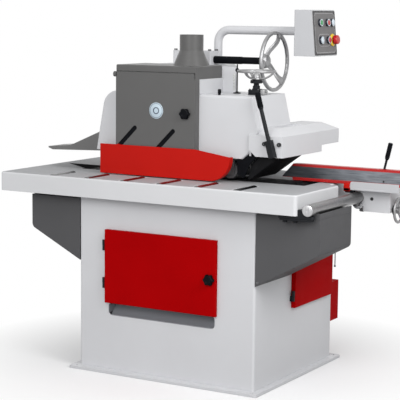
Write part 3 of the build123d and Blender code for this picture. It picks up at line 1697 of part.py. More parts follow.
# Fence hand wheel with its pinion shaft
fence_wheel_plane = Plane(
    origin=(carriage_box_right + 4, pinion_y, pinion_z),
    x_dir=(0, 1, 0),
    z_dir=(1, 0, 0),
)
pinion_points = []
for k in range(pinion_teeth):
    turn = pi / 2 + 2 * pi * k / pinion_teeth
    root = pinion_radius - 1.25 * rack_module
    tip = pinion_radius + 0.95 * rack_module
    thick = rack_pitch / 4 - pinion_backlash
    rising = ((root, -thick * 1.2), (pinion_radius, -thick), (tip, -thick * 0.4))
    falling = ((tip, thick * 0.4), (pinion_radius, thick), (root, thick * 1.2))
    for reach, half in rising + falling:
        spot = turn + half / reach
        pinion_points.append((pinion_y + reach * cos(spot), pinion_z + reach * sin(spot)))
with BuildPart() as fence_wheel:
    add(
        hand_wheel(fence_wheel_radius, fence_wheel_rim, 15, 26, 6, pinion_shaft_radius / 2, 3).moved(
            fence_wheel_plane.location
        )
    )
    x_round(pinion_shaft_radius, (rail_x - rack_width / 2, carriage_box_right + 8), pinion_y, pinion_z)
    with BuildSketch(side_plane(rail_x - rack_width / 2)):
        with BuildLine():
            Polyline(*pinion_points, close=True)
        make_face()
    extrude(amount=rack_width)

# Pendant pipe, control box, panel and buttons
with BuildPart() as pendant_pipe:
    with BuildLine():
        FilletPolyline(
            (pendant_x, pendant_y, arm_top + seat_fit),
            (pendant_x, pendant_y, pendant_z),
            (box_left, pendant_y, pendant_z),
            radius=pendant_bend,
        )
    with BuildSketch(Plane(origin=(pendant_x, pendant_y, arm_top + seat_fit))):
        Circle(pendant_radius)
    sweep()

tilt = radians(panel_tilt)
panel_plane = Plane(
    origin=(box_left + box_depth, box_front + box_width / 2, box_bottom),
    x_dir=(0, 1, 0),
    z_dir=(cos(tilt), 0, sin(tilt)),
)
panel_height = box_height / cos(tilt)
with BuildPart() as control_box:
    with BuildSketch(front_plane(box_front + box_width)):
        with BuildLine():
            Polyline(
                (box_left, box_bottom),
                (box_left + box_depth, box_bottom),
                (box_left + box_depth - box_lean, box_bottom + box_height),
                (box_left, box_bottom + box_height),
                close=True,
            )
        make_face()
    extrude(amount=box_width)
    fillet(control_box.faces().sort_by(Axis.X)[0].edges(), 4)
    with BuildSketch(panel_plane):
        with Locations((0, panel_height / 2)):
            Rectangle(box_width - 4 * panel_margin, panel_height - 4 * panel_margin)
    extrude(amount=-box_depth * 0.7, mode=Mode.SUBTRACT)


def panel_spot(y, z):
    return (y - box_front - box_width / 2, (z - box_bottom) / cos(tilt))


start_spot = panel_spot(button_column_y[0], button_row_z[1])
stop_spot = panel_spot(button_column_y[1], button_row_z[1])
estop_spot = panel_spot(button_column_y[2], button_row_z[0])
with BuildPart() as control_panel:
    with BuildSketch(panel_plane):
        with Locations((0, panel_height / 2)):
            Rectangle(box_width - 2 * panel_margin, panel_height - 2 * panel_margin)
    extrude(amount=panel_thickness)
    with BuildSketch(panel_plane.offset(panel_thickness)):
        with Locations(start_spot, stop_spot):
            Circle(bezel_radius)
    extrude(amount=bezel_height)
    with BuildSketch(panel_plane):
        with Locations(start_spot, stop_spot, estop_spot):
            Circle(button_radius + seat_fit)
    extrude(amount=panel_thickness + bezel_height, mode=Mode.SUBTRACT)


def push_button(spot):
    # A flush push button with a rounded cap.
    with BuildPart() as button:
        with BuildSketch(panel_plane.offset(-8)):
            with Locations(spot):
                Circle(button_radius)
        extrude(amount=8 + panel_thickness + button_height)
        cap = button.faces().sort_by(Axis((0, 0, 0), panel_plane.z_dir))[-1]
        fillet(cap.edges(), 2)
    return button


start_button = push_button(start_spot)
stop_button = push_button(stop_spot)

with BuildPart() as estop_button:
    with BuildSketch(panel_plane.offset(-8)):
        with Locations(estop_spot):
            Circle(button_radius)
    extrude(amount=8 + panel_thickness + estop_stem + 1)
    with BuildSketch(panel_plane.offset(panel_thickness + estop_stem)):
        with Locations(estop_spot):
            Circle(estop_radius)
    extrude(amount=estop_height - estop_stem)
    crown = estop_button.faces().sort_by(Axis((0, 0, 0), panel_plane.z_dir))[-1]
    fillet(crown.edges(), 5)

pieces = {
    "base_plate": base_plate,
    "cabinet": cabinet,
    "front_recess": front_recess,
    "cabinet_door": cabinet_door,
    "door_knob": door_knob,
    "side_door": side_door,
    "door_hinges": door_hinges,
    "rear_cover": rear_cover,
    "table": table,
    "feed_chain": feed_chain,
    "feed_shafts": feed_shafts,
    "chain_bed": chain_bed,
    "feed_gear_motor": feed_gear_motor,
    "outfeed_chain_cover": outfeed_chain_cover,
    "infeed_chain_cover": infeed_chain_cover,
    "column": column,
    "head_housing": head_housing,
    "arbor_housing": arbor_housing,
    "arbor_bearings": arbor_bearings,
    "saw_motor": saw_motor,
    "arbor_shaft": arbor_shaft,
    "saw_blade": saw_blade,
    "blade_clamp": blade_clamp,
    "gear_block": gear_block,
    "shaft_sleeve": shaft_sleeve,
    "lift_screw": lift_screw,
    "arbor_wheel": arbor_wheel,
    "infeed_press": infeed_press,
    "outfeed_press": outfeed_press,
    "infeed_roller": infeed_roller,
    "outfeed_roller": outfeed_roller,
    "bearing_block": bearing_block,
    "press_wheel": press_wheel,
    "thickness_rod": thickness_rod,
    "dust_hood": dust_hood,
    "hood_door": hood_door,
    "hood_knob": hood_knob,
    "blade_guard": blade_guard,
    "kickback_hood": kickback_hood,
    "kickback_lever": kickback_lever,
    "finger_row": finger_row,
    "outfeed_deflector": outfeed_deflector,
    "fence_rail": fence_rail,
    "rail_brackets": rail_brackets,
    "fence_carriage": fence_carriage,
    "fence": fence,
    "fence_lever": fence_lever,
    "fence_wheel": fence_wheel,
    "pendant_pipe": pendant_pipe,
    "control_box": control_box,
    "control_panel": control_panel,
    "start_button": start_button,
    "stop_button": stop_button,
    "estop_button": estop_button,
}
for k, table_roller in enumerate(table_rollers):
    pieces[f"table_roller_{k + 1}"] = table_roller

os.makedirs("parts", exist_ok=True)
for name, piece in pieces.items():
    piece.part.label = name
    export_step(piece.part, f"parts/{name}.step")
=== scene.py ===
from math import atan2, cos, pi, radians, sin

import bmesh
import bpy
from mathutils import Matrix, Vector


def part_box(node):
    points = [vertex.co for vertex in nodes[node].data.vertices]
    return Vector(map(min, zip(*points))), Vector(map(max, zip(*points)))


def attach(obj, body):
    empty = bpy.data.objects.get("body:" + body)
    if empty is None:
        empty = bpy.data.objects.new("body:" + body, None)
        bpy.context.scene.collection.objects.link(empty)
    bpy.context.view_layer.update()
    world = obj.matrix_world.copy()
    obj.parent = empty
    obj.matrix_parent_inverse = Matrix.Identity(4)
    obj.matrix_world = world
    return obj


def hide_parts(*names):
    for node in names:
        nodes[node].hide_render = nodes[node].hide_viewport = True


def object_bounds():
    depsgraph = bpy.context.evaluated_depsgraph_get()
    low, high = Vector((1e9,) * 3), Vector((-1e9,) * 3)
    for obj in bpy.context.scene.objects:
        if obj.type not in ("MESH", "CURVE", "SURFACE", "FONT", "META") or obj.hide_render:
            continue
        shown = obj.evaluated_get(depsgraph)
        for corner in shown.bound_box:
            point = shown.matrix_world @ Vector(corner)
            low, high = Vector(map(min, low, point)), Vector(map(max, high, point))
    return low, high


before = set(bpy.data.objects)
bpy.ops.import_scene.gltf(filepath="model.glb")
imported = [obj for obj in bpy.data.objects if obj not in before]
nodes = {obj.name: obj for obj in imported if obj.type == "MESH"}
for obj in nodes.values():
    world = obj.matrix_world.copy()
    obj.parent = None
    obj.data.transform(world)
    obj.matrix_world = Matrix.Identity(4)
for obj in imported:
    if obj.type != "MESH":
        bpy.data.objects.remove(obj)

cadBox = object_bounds()
scene = bpy.context.scene
scene.view_settings.view_transform = "Standard"
print("frame loaded:", len(nodes), "nodes")


# Node helpers: a number or a colour sets a socket, anything else is linked to it
def feed(tree, socket, amount):
    if isinstance(amount, (int, float, tuple)):
        socket.default_value = amount
    else:
        tree.links.new(amount, socket)


def feedNode(tree, node, amounts):
    for title, amount in amounts.items():
        feed(tree, node.inputs[title], amount)


def addNoise(tree, vector, scale, detail, rough=0.55):
    node = tree.nodes.new("ShaderNodeTexNoise")
    feedNode(tree, node, {"Vector": vector, "Scale": scale, "Detail": detail, "Roughness": rough})
    return node.outputs["Fac"]


def addRange(tree, value, low, high, toLow=0.0, toHigh=1.0):
    node = tree.nodes.new("ShaderNodeMapRange")
    ends = {"From Min": low, "From Max": high, "To Min": toLow, "To Max": toHigh}
    feedNode(tree, node, {"Value": value, **ends})
    return node.outputs["Result"]


def addMath(tree, operation, first, second):
    node = tree.nodes.new("ShaderNodeMath")
    node.operation = operation
    for socket, amount in zip(node.inputs, (first, second)):
        feed(tree, socket, amount)
    return node.outputs["Value"]


def addMix(tree, factor, first, second):
    node = tree.nodes.new("ShaderNodeMix")
    node.data_type = "RGBA"
    for index, amount in ((0, factor), (6, first), (7, second)):
        feed(tree, node.inputs[index], amount)
    return node.outputs[2]


def mixShaders(tree, factor, first, second):
    node = tree.nodes.new("ShaderNodeMixShader")
    for socket, source in zip(node.inputs, (factor, first, second)):
        tree.links.new(source, socket)
    return node.outputs["Shader"]


def objectSpace(tree):
    return tree.nodes.new("ShaderNodeTexCoord").outputs["Object"]


def splitAxes(tree, vector):
    node = tree.nodes.new("ShaderNodeSeparateXYZ")
    tree.links.new(vector, node.inputs[0])
    return node.outputs


def facingAxes(tree):
    return splitAxes(tree, tree.nodes.new("ShaderNodeTexCoord").outputs["Normal"])


# Scene helpers
def addObject(name, data):
    thing = bpy.data.objects.new(name, data)
    scene.collection.objects.link(thing)
    return thing


def makeMesh(name, bm):
    mesh = bpy.data.meshes.new(name)
    bm.to_mesh(mesh)
    bm.free()
    return mesh


# Camera: where the picture is taken from, and how long the lens is
cameraPlan = {
    "place": (3.0922, -5.3685, 1.5681),
    "heading": 30.3,
    "dip": 7.65,
    "roll": 0.56,
    "lens": 126.9,
    "sensor": 36,
    "farClip": 60,
}


def placeCamera(plan):
    heading = radians(plan["heading"])
    dip = radians(plan["dip"])
    roll = radians(plan["roll"])
    look = Vector((-sin(heading) * cos(dip), cos(heading) * cos(dip), -sin(dip)))
    right = Vector((cos(heading), sin(heading), 0))
    up = right.cross(look)
    tiltedRight = right * cos(roll) + up * sin(roll)
    tiltedUp = up * cos(roll) - right * sin(roll)
    data = bpy.data.cameras.new("photoCamera")
    data.lens = plan["lens"]
    data.sensor_width = plan["sensor"]
    data.clip_end = plan["farClip"]
    camera = addObject("photoCamera", data)
    turn = Matrix((tiltedRight, tiltedUp, -look)).transposed()
    camera.matrix_world = Matrix.Translation(plan["place"]) @ turn.to_4x4()
    scene.camera = camera


placeCamera(cameraPlan)
print("camera placed")

# Studio: pale floor, white surroundings, two large soft lamps
studioPlan = {
    "floorSize": 30,
    "floorDrop": 0.0005,
    "floorColour": (0.93, 0.93, 0.935, 1),
    "bounceColour": (0.50, 0.50, 0.505, 1),
    "backdropColour": (1, 1, 1, 1),
    "shadowNear": 0.5,
    "shadowFar": 1.25,
    "skyLight": 0.63,
    "lampTarget": (0, 0, 0.9),
    "lamps": {
        "keyLamp": {"place": (0.6, -5.6, 3.4), "size": 3.6, "watts": 165},
        "sideLamp": {"place": (2.6, -1.2, 2.4), "size": 1.6, "watts": 54},
    },
}


def addLamp(name, plan, target):
    data = bpy.data.lights.new(name, "AREA")
    data.shape = "DISK"
    data.size = plan["size"]
    data.energy = plan["watts"]
    lamp = addObject(name, data)
    lamp.location = plan["place"]
    lamp.rotation_euler = (Vector(target) - Vector(plan["place"])).to_track_quat("-Z", "Y").to_euler()
    lamp.visible_camera = False


def showsWhite(tree, rays):
    # White for the camera and in reflections; the lamps and sky light the rest
    mirrored = addMath(tree, "MAXIMUM", rays.outputs["Is Glossy Ray"], rays.outputs["Is Transmission Ray"])
    return addMath(tree, "MAXIMUM", rays.outputs["Is Camera Ray"], mirrored)


def buildFloor(plan):
    bm = bmesh.new()
    bmesh.ops.create_grid(bm, x_segments=1, y_segments=1, size=plan["floorSize"] / 2)
    bmesh.ops.translate(bm, verts=bm.verts, vec=(0, 0, cadBox[0][2] - plan["floorDrop"]))
    mesh = makeMesh("studioFloor", bm)
    floor = addObject("studioFloor", mesh)
    finish = bpy.data.materials.new("floorFinish")
    finish.use_nodes = True
    mesh.materials.append(finish)
    tree = finish.node_tree
    tree.nodes.clear()
    rays = tree.nodes.new("ShaderNodeLightPath")
    matt = tree.nodes.new("ShaderNodeBsdfDiffuse")
    tone = addMix(tree, rays.outputs["Is Camera Ray"], plan["bounceColour"], plan["floorColour"])
    tree.links.new(tone, matt.inputs["Color"])
    glow = tree.nodes.new("ShaderNodeEmission")
    glow.inputs["Color"].default_value = plan["backdropColour"]
    reach = tree.nodes.new("ShaderNodeVectorMath")
    reach.operation = "LENGTH"
    tree.links.new(objectSpace(tree), reach.inputs[0])
    fade = addRange(tree, reach.outputs["Value"], plan["shadowNear"], plan["shadowFar"])
    seen = addMath(tree, "MULTIPLY", fade, showsWhite(tree, rays))
    look = mixShaders(tree, seen, matt.outputs["BSDF"], glow.outputs["Emission"])
    tree.links.new(look, tree.nodes.new("ShaderNodeOutputMaterial").inputs["Surface"])


def buildWorld(plan):
    world = bpy.data.worlds.new("studioWorld")
    scene.world = world
    world.use_nodes = True
    tree = world.node_tree
    tree.nodes.clear()
    sky = tree.nodes.new("ShaderNodeBackground")
    sky.inputs["Strength"].default_value = plan["skyLight"]
    backdrop = tree.nodes.new("ShaderNodeBackground")
    backdrop.inputs["Color"].default_value = plan["backdropColour"]
    seen = showsWhite(tree, tree.nodes.new("ShaderNodeLightPath"))
    look = mixShaders(tree, seen, sky.outputs["Background"], backdrop.outputs["Background"])
    tree.links.new(look, tree.nodes.new("ShaderNodeOutputWorld").inputs["Surface"])


buildFloor(studioPlan)
buildWorld(studioPlan)
for name, lampPlan in studioPlan["lamps"].items():
    addLamp(name, lampPlan, studioPlan["lampTarget"])
print("studio built")


# Shared surface effects, one node group each
def startGroup(name, inputs, outputs):
    # An input's kind follows from its first value, an output's from its name
    group = bpy.data.node_groups.new(name, "ShaderNodeTree")
    inputKinds = {1: "NodeSocketFloat", 3: "NodeSocketVector", 4: "NodeSocketColor"}
    outputKinds = {"Colour": "NodeSocketColor", "Normal": "NodeSocketVector"}
    for title, value in inputs.items():
        kind = inputKinds[len(value) if isinstance(value, tuple) else 1]
        socket = group.interface.new_socket(name=title, in_out="INPUT", socket_type=kind)
        socket.default_value = value
    for title in outputs:
        kind = outputKinds.get(title, "NodeSocketFloat")
        group.interface.new_socket(name=title, in_out="OUTPUT", socket_type=kind)
    return group, group.nodes.new("NodeGroupInput").outputs, group.nodes.new("NodeGroupOutput")


effectPlan = {
    "paintFilm": {"cloudScale": 3.2, "handlingScale": 17.0, "edgeRadius": 0.0022, "depth": 0.0006},
    "toolMarks": {"patchScale": 9.0, "streakShare": 0.7, "edgeRadius": 0.0012, "depth": 0.0003},
    "grainSkin": {"wearScale": 24.0, "edgeRadius": 0.001, "depth": 0.0004},
}


def addRelief(group, height, strength, plan):
    # Edges rounded in the shading, with a fine bump over them
    bevel = group.nodes.new("ShaderNodeBevel")
    bevel.samples = 4
    bevel.inputs["Radius"].default_value = plan["edgeRadius"]
    bump = group.nodes.new("ShaderNodeBump")
    relief = {"Height": height, "Strength": strength, "Distance": plan["depth"]}
    feedNode(group, bump, {**relief, "Normal": bevel.outputs["Normal"]})
    return bump.outputs["Normal"]


def makePaintFilm(plan):
    # Sprayed enamel: soft cloudy tone, orange peel, edges rounded in the shading
    group, given, result = startGroup(
        "paintFilm",
        {
            "Colour": (0.8, 0.8, 0.8, 1), "Shade": 0.08, "Gloss Low": 0.28, "Gloss High": 0.42,
            "Peel Size": 420.0, "Peel Height": 0.05,
        },
        ("Colour", "Roughness", "Normal"),
    )
    place = objectSpace(group)
    cloud = addNoise(group, place, plan["cloudScale"], 4.0)
    tone = addRange(group, cloud, 0.3, 0.7, 0.0, given["Shade"])
    colour = addMix(group, tone, given["Colour"], (0.0, 0.0, 0.0, 1))
    handling = addNoise(group, place, plan["handlingScale"], 5.0, 0.65)
    gloss = addRange(group, handling, 0.3, 0.75, given["Gloss Low"], given["Gloss High"])
    peel = addNoise(group, place, given["Peel Size"], 1.0)
    normal = addRelief(group, peel, given["Peel Height"], plan)
    feedNode(group, result, {"Colour": colour, "Roughness": gloss, "Normal": normal})
    return group


def makeToolMarks(plan):
    # Ground or turned metal: long streaks along one axis
    group, given, result = startGroup(
        "toolMarks",
        {"Stretch": (1.0, 1.0, 1.0), "Scale": 160.0, "Low": 0.2, "High": 0.4, "Depth": 0.15},
        ("Tone", "Roughness", "Normal"),
    )
    stretch = group.nodes.new("ShaderNodeVectorMath")
    stretch.operation = "MULTIPLY"
    group.links.new(objectSpace(group), stretch.inputs[0])
    group.links.new(given["Stretch"], stretch.inputs[1])
    streak = addNoise(group, stretch.outputs["Vector"], given["Scale"], 3.0, 0.6)
    patch = addNoise(group, objectSpace(group), plan["patchScale"], 4.0, 0.6)
    mostly = addMath(group, "MULTIPLY", streak, plan["streakShare"])
    tone = addMath(group, "ADD", mostly, addMath(group, "MULTIPLY", patch, 1 - plan["streakShare"]))
    rough = addRange(group, tone, 0.32, 0.68, given["Low"], given["High"])
    normal = addRelief(group, streak, given["Depth"], plan)
    feedNode(group, result, {"Tone": tone, "Roughness": rough, "Normal": normal})
    return group


def makeGrainSkin(plan):
    # Cast, moulded or rubber skin: fine pebbles with a broken gloss
    group, given, result = startGroup(
        "grainSkin",
        {
            "Colour": (0.03, 0.03, 0.03, 1), "Lift": (0.08, 0.08, 0.08, 1), "Scale": 700.0,
            "Low": 0.45, "High": 0.65, "Height": 0.2,
        },
        ("Colour", "Roughness", "Normal"),
    )
    place = objectSpace(group)
    pebble = addNoise(group, place, given["Scale"], 2.0)
    wear = addNoise(group, place, plan["wearScale"], 5.0, 0.65)
    worn = addRange(group, wear, 0.5, 0.85)
    colour = addMix(group, worn, given["Colour"], given["Lift"])
    rough = addRange(group, wear, 0.3, 0.75, given["Low"], given["High"])
    normal = addRelief(group, pebble, given["Height"], plan)
    feedNode(group, result, {"Colour": colour, "Roughness": rough, "Normal": normal})
    return group


paintFilm = makePaintFilm(effectPlan["paintFilm"])
toolMarks = makeToolMarks(effectPlan["toolMarks"])
grainSkin = makeGrainSkin(effectPlan["grainSkin"])
print("surface groups built")


def startFinish(name):
    finish = bpy.data.materials.new(name)
    finish.use_nodes = True
    tree = finish.node_tree
    return finish, tree, tree.nodes["Principled BSDF"]


def dressShader(tree, shader, colour, rough, normal, others):
    feedNode(tree, shader, {"Base Color": colour, "Roughness": rough, "Normal": normal, **others})


def placeGroup(tree, group, values):
    node = tree.nodes.new("ShaderNodeGroup")
    node.node_tree = group
    feedNode(tree, node, values)
    return node.outputs


def makePaint(name, colour, shade, low, high, peel, gloss=0.5):
    finish, tree, shader = startFinish(name)
    values = {"Colour": (*colour, 1), "Shade": shade, "Gloss Low": low, "Gloss High": high}
    film = placeGroup(tree, paintFilm, {**values, "Peel Height": peel})
    shine = {"Specular IOR Level": gloss}
    dressShader(tree, shader, film["Colour"], film["Roughness"], film["Normal"], shine)
    return finish


def makeMetal(name, dark, light, stretch, scale, low, high, depth):
    finish, tree, shader = startFinish(name)
    values = {"Stretch": stretch, "Scale": scale, "Low": low, "High": high, "Depth": depth}
    marks = placeGroup(tree, toolMarks, values)
    colour = addMix(tree, addRange(tree, marks["Tone"], 0.3, 0.7), (*dark, 1), (*light, 1))
    dressShader(tree, shader, colour, marks["Roughness"], marks["Normal"], {"Metallic": 1.0})
    return finish


def makeGrain(name, colour, lift, scale, low, high, height, metal=0.0, gloss=0.5):
    finish, tree, shader = startFinish(name)
    values = {"Colour": (*colour, 1), "Lift": (*lift, 1), "Scale": scale, "Low": low, "High": high}
    skin = placeGroup(tree, grainSkin, {**values, "Height": height})
    shine = {"Metallic": metal, "Specular IOR Level": gloss}
    dressShader(tree, shader, skin["Colour"], skin["Roughness"], skin["Normal"], shine)
    return finish


# Paints: colour, clouding, roughness from and to, orange peel, shine
paintMixes = {
    "whiteEnamel": ((0.635, 0.64, 0.66), 0.05, 0.30, 0.42, 0.05, 0.35),
    "hoodGrey": ((0.112, 0.111, 0.110), 0.10, 0.30, 0.45, 0.08, 0.35),
    # the hood's grey drawn lighter: painted light on the deflector
    "hoodGreyLit": ((0.176, 0.175, 0.174), 0.10, 0.30, 0.45, 0.08, 0.35),
    "coverGrey": ((0.097, 0.097, 0.101), 0.10, 0.48, 0.62, 0.08, 0.08),
    "doorRed": ((0.40, 0.001, 0.002), 0.12, 0.34, 0.50, 0.05, 0.012),
    "guardRed": ((0.53, 0.011, 0.007), 0.10, 0.34, 0.50, 0.05, 0.07),
    "blackEnamel": ((0.008, 0.009, 0.0115), 0.2, 0.36, 0.52, 0.08, 0.18),
    "motorGrey": ((0.13, 0.15, 0.17), 0.12, 0.35, 0.5, 0.12),
    # grey of the control box, also used as painted shade on the carriage lip
    "boxGreyAndShadedLip": ((0.50, 0.505, 0.522), 0.05, 0.32, 0.45, 0.06, 0.35),
    # much lighter than the covers' grey: painted light lifting the recess's shade
    "recessGreyLit": ((0.27, 0.28, 0.305), 0.10, 0.32, 0.45, 0.06, 0.4),
    "panelGrey": ((0.165, 0.160, 0.162), 0.08, 0.4, 0.55, 0.10, 0.3),
    "greenCap": ((0.01, 0.30, 0.07), 0.1, 0.15, 0.28, 0.02, 0.6),
    "redCap": ((0.50, 0.010, 0.012), 0.1, 0.15, 0.28, 0.02, 0.6),
    "lampWhite": ((0.62, 0.70, 0.76), 0.08, 0.12, 0.25, 0.02, 0.6),
    "plateYellow": ((0.78, 0.53, 0.02), 0.08, 0.3, 0.42, 0.03),
    "discBlue": ((0.55, 0.66, 0.74), 0.06, 0.3, 0.42, 0.02),
    "inkBlack": ((0.015, 0.015, 0.016), 0.1, 0.4, 0.55, 0.02),
    "scalePlate": ((0.72, 0.73, 0.72), 0.05, 0.28, 0.4, 0.02),
    "panelDark": ((0.036, 0.036, 0.037), 0.1, 0.4, 0.55, 0.05, 0.3),
    "printGrey": ((0.46, 0.46, 0.47), 0.06, 0.4, 0.55, 0.02, 0.3),
    "barrelBlue": ((0.010, 0.016, 0.030), 0.1, 0.2, 0.34, 0.03, 0.5),
    "ringSlate": ((0.05, 0.07, 0.11), 0.08, 0.35, 0.5, 0.02, 0.3),
}
# Bare metals: dark and light tone, streak direction and size, roughness from and to, depth of the marks
metalMixes = {
    "brightChrome": ((0.66, 0.66, 0.67), (0.82, 0.82, 0.83), (1, 1, 1), 40, 0.06, 0.16, 0.02),
    "groundSteel": ((0.42, 0.42, 0.43), (0.62, 0.62, 0.63), (40, 1, 1), 6, 0.22, 0.38, 0.12),
    "bladeSteel": ((0.42, 0.43, 0.44), (0.66, 0.67, 0.68), (1, 1, 30), 9, 0.16, 0.34, 0.10),
    "darkSteel": ((0.10, 0.10, 0.105), (0.20, 0.20, 0.205), (1, 30, 1), 9, 0.32, 0.5, 0.15),
    "rollerSteel": ((0.15, 0.15, 0.155), (0.28, 0.28, 0.285), (1, 30, 1), 9, 0.18, 0.30, 0.06),
}
# Castings, plastic and rubber: base and worn tone, pebble size, roughness from and to, height, metal, shine
grainMixes = {
    "chainIron": ((0.006, 0.006, 0.007), (0.02, 0.02, 0.021), 420, 0.6, 0.8, 0.35, 0.0, 0.12),
    "castIron": ((0.16, 0.16, 0.165), (0.24, 0.24, 0.245), 300, 0.45, 0.65, 0.35, 0.2),
    "castSilver": ((0.33, 0.33, 0.335), (0.47, 0.47, 0.475), 260, 0.34, 0.52, 0.2, 0.85),
    "rollerGrey": ((0.16, 0.16, 0.165), (0.24, 0.24, 0.245), 320, 0.45, 0.65, 0.3, 0.3),
    "blackPlastic": ((0.002, 0.0025, 0.004), (0.005, 0.006, 0.008), 900, 0.3, 0.5, 0.15, 0.0, 0.08),
    "blackRubber": ((0.0025, 0.003, 0.0045), (0.008, 0.009, 0.011), 800, 0.6, 0.8, 0.35, 0.0, 0.08),
}
finishes = {}
for make, mixes in ((makePaint, paintMixes), (makeMetal, metalMixes), (makeGrain, grainMixes)):
    for name, mix in mixes.items():
        finishes[name] = make(name, *mix)
print("plain finishes mixed:", len(finishes))


# Finishes that change over one CAD node
tableFinishPlan = {
    "skirt": {"Colour": (0.665, 0.67, 0.685, 1), "Shade": 0.05, "Peel Height": 0.05},
    "marks": {"Stretch": (1, 30, 1), "Scale": 7, "Low": 0.48, "High": 0.62, "Depth": 0.06},
    "groundDark": (0.36, 0.365, 0.378, 1), "groundLight": (0.45, 0.456, 0.468, 1), "shine": 0.1,
    "channel": {"X": (-0.780, 0.530), "Y": (-0.125, 0.030)}, "channelShadeColour": (0.010, 0.010, 0.011, 1),
    "wallNear": 0.0005, "wallFar": 0.0015,
}
fenceFinishPlan = {
    "paint": {"Colour": (0.44, 0.004, 0.004, 1), "Shade": 0.1, "Gloss Low": 0.28, "Gloss High": 0.42},
    "marks": {"Stretch": (1, 1, 14), "Scale": 14, "Low": 0.3, "High": 0.46, "Depth": 0.12},
    "faceLow": 0.012, "faceHigh": 0.010, "faceEdge": 0.0008, "metal": 0.8,
    # painted light along the machined face: each steel tone pair runs from painted shade to painted
    # reflection between these X
    "paintedLightX": (0.50, 0.70),
    "dark": ((0.039, 0.044, 0.052, 1), (0.112, 0.124, 0.142, 1)),
    "light": ((0.110, 0.117, 0.129, 1), (0.310, 0.326, 0.352, 1)),
}
railFinishPlan = {
    "marks": {"Stretch": (1, 40, 1), "Scale": 9, "Low": 0.28, "High": 0.42, "Depth": 0.1},
    "dark": (0.22, 0.22, 0.222, 1), "light": (0.35, 0.35, 0.352, 1), "ink": (0.03, 0.03, 0.03, 1),
    "ticksPerMetre": 100.0, "tickShare": (0.10, 0.14), "scaleAbove": (0.012, 0.0125), "metal": 0.9,
}


def makeTableFinish(plan):
    # Ground top plate with long grinding streaks, painted skirt, and painted shade: near-black on the walls
    # of the chain channel
    finish, tree, shader = startFinish("tableFinish")
    film = placeGroup(tree, paintFilm, plan["skirt"])
    marks = placeGroup(tree, toolMarks, plan["marks"])
    top = addRange(tree, facingAxes(tree)["Z"], 0.9, 0.98)
    tone = addRange(tree, marks["Tone"], 0.35, 0.65)
    ground = addMix(tree, tone, plan["groundDark"], plan["groundLight"])
    place = splitAxes(tree, objectSpace(tree))
    near, far = plan["wallNear"], plan["wallFar"]
    # painted shade: the channel's side and end walls, not the top faces, are drawn near-black
    channelShade = addRange(tree, top, 0.0, 1.0, 1.0, 0.0)
    for axis, (low, high) in plan["channel"].items():
        past = addRange(tree, place[axis], low - far, low - near)
        short = addRange(tree, place[axis], high + near, high + far, 1.0, 0.0)
        channelShade = addMath(tree, "MULTIPLY", channelShade, addMath(tree, "MULTIPLY", past, short))
    skirt = addMix(tree, channelShade, film["Colour"], plan["channelShadeColour"])
    rough = addMix(tree, top, film["Roughness"], marks["Roughness"])
    colour = addMix(tree, top, skirt, ground)
    dressShader(tree, shader, colour, rough, film["Normal"], {"Specular IOR Level": plan["shine"]})
    return finish


def makeFenceFinish(plan, bottom, top):
    # Red casting with one machined face towards the stock; the face has painted light along it, painted
    # shade towards its outfeed end and a painted reflection towards its infeed end
    finish, tree, shader = startFinish("fenceFinish")
    film = placeGroup(tree, paintFilm, plan["paint"])
    marks = placeGroup(tree, toolMarks, plan["marks"])
    place = splitAxes(tree, objectSpace(tree))
    facesStock = addRange(tree, facingAxes(tree)["Y"], -0.95, -0.85, 1.0, 0.0)
    low, high, edge = bottom + plan["faceLow"], top - plan["faceHigh"], plan["faceEdge"]
    above = addRange(tree, place["Z"], low, low + edge)
    below = addRange(tree, place["Z"], high - edge, high, 1.0, 0.0)
    bare = addMath(tree, "MULTIPLY", facesStock, addMath(tree, "MULTIPLY", above, below))
    # painted shade and painted reflection: share along X between the darker and brighter steel tones
    along = addRange(tree, place["X"], *plan["paintedLightX"])
    tone = addRange(tree, marks["Tone"], 0.3, 0.7)
    steel = addMix(tree, tone, addMix(tree, along, *plan["dark"]), addMix(tree, along, *plan["light"]))
    rough = addMix(tree, bare, film["Roughness"], marks["Roughness"])
    colour = addMix(tree, bare, film["Colour"], steel)
    metal = addMath(tree, "MULTIPLY", bare, plan["metal"])
    dressShader(tree, shader, colour, rough, film["Normal"], {"Metallic": metal})
    return finish


def makeRailFinish(plan, height):
    # Turned steel bar with a centimetre scale along its upper side
    finish, tree, shader = startFinish("railFinish")
    marks = placeGroup(tree, toolMarks, plan["marks"])
    place = splitAxes(tree, objectSpace(tree))
    step = addMath(tree, "FRACT", addMath(tree, "MULTIPLY", place["Y"], plan["ticksPerMetre"]), 0.0)
    tick = addRange(tree, step, *plan["tickShare"], 1.0, 0.0)
    upper = addRange(tree, place["Z"], *(height + rise for rise in plan["scaleAbove"]))
    inked = addMath(tree, "MULTIPLY", tick, upper)
    steel = addMix(tree, addRange(tree, marks["Tone"], 0.3, 0.7), plan["dark"], plan["light"])
    colour = addMix(tree, inked, steel, plan["ink"])
    dressShader(tree, shader, colour, marks["Roughness"], marks["Normal"], {"Metallic": plan["metal"]})
    return finish


fenceLow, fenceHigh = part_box("fence")
railLow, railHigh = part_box("fence_rail")
finishes["tableFinish"] = makeTableFinish(tableFinishPlan)
finishes["fenceFinish"] = makeFenceFinish(fenceFinishPlan, fenceLow.z, fenceHigh.z)
finishes["railFinish"] = makeRailFinish(railFinishPlan, (railLow.z + railHigh.z) / 2)

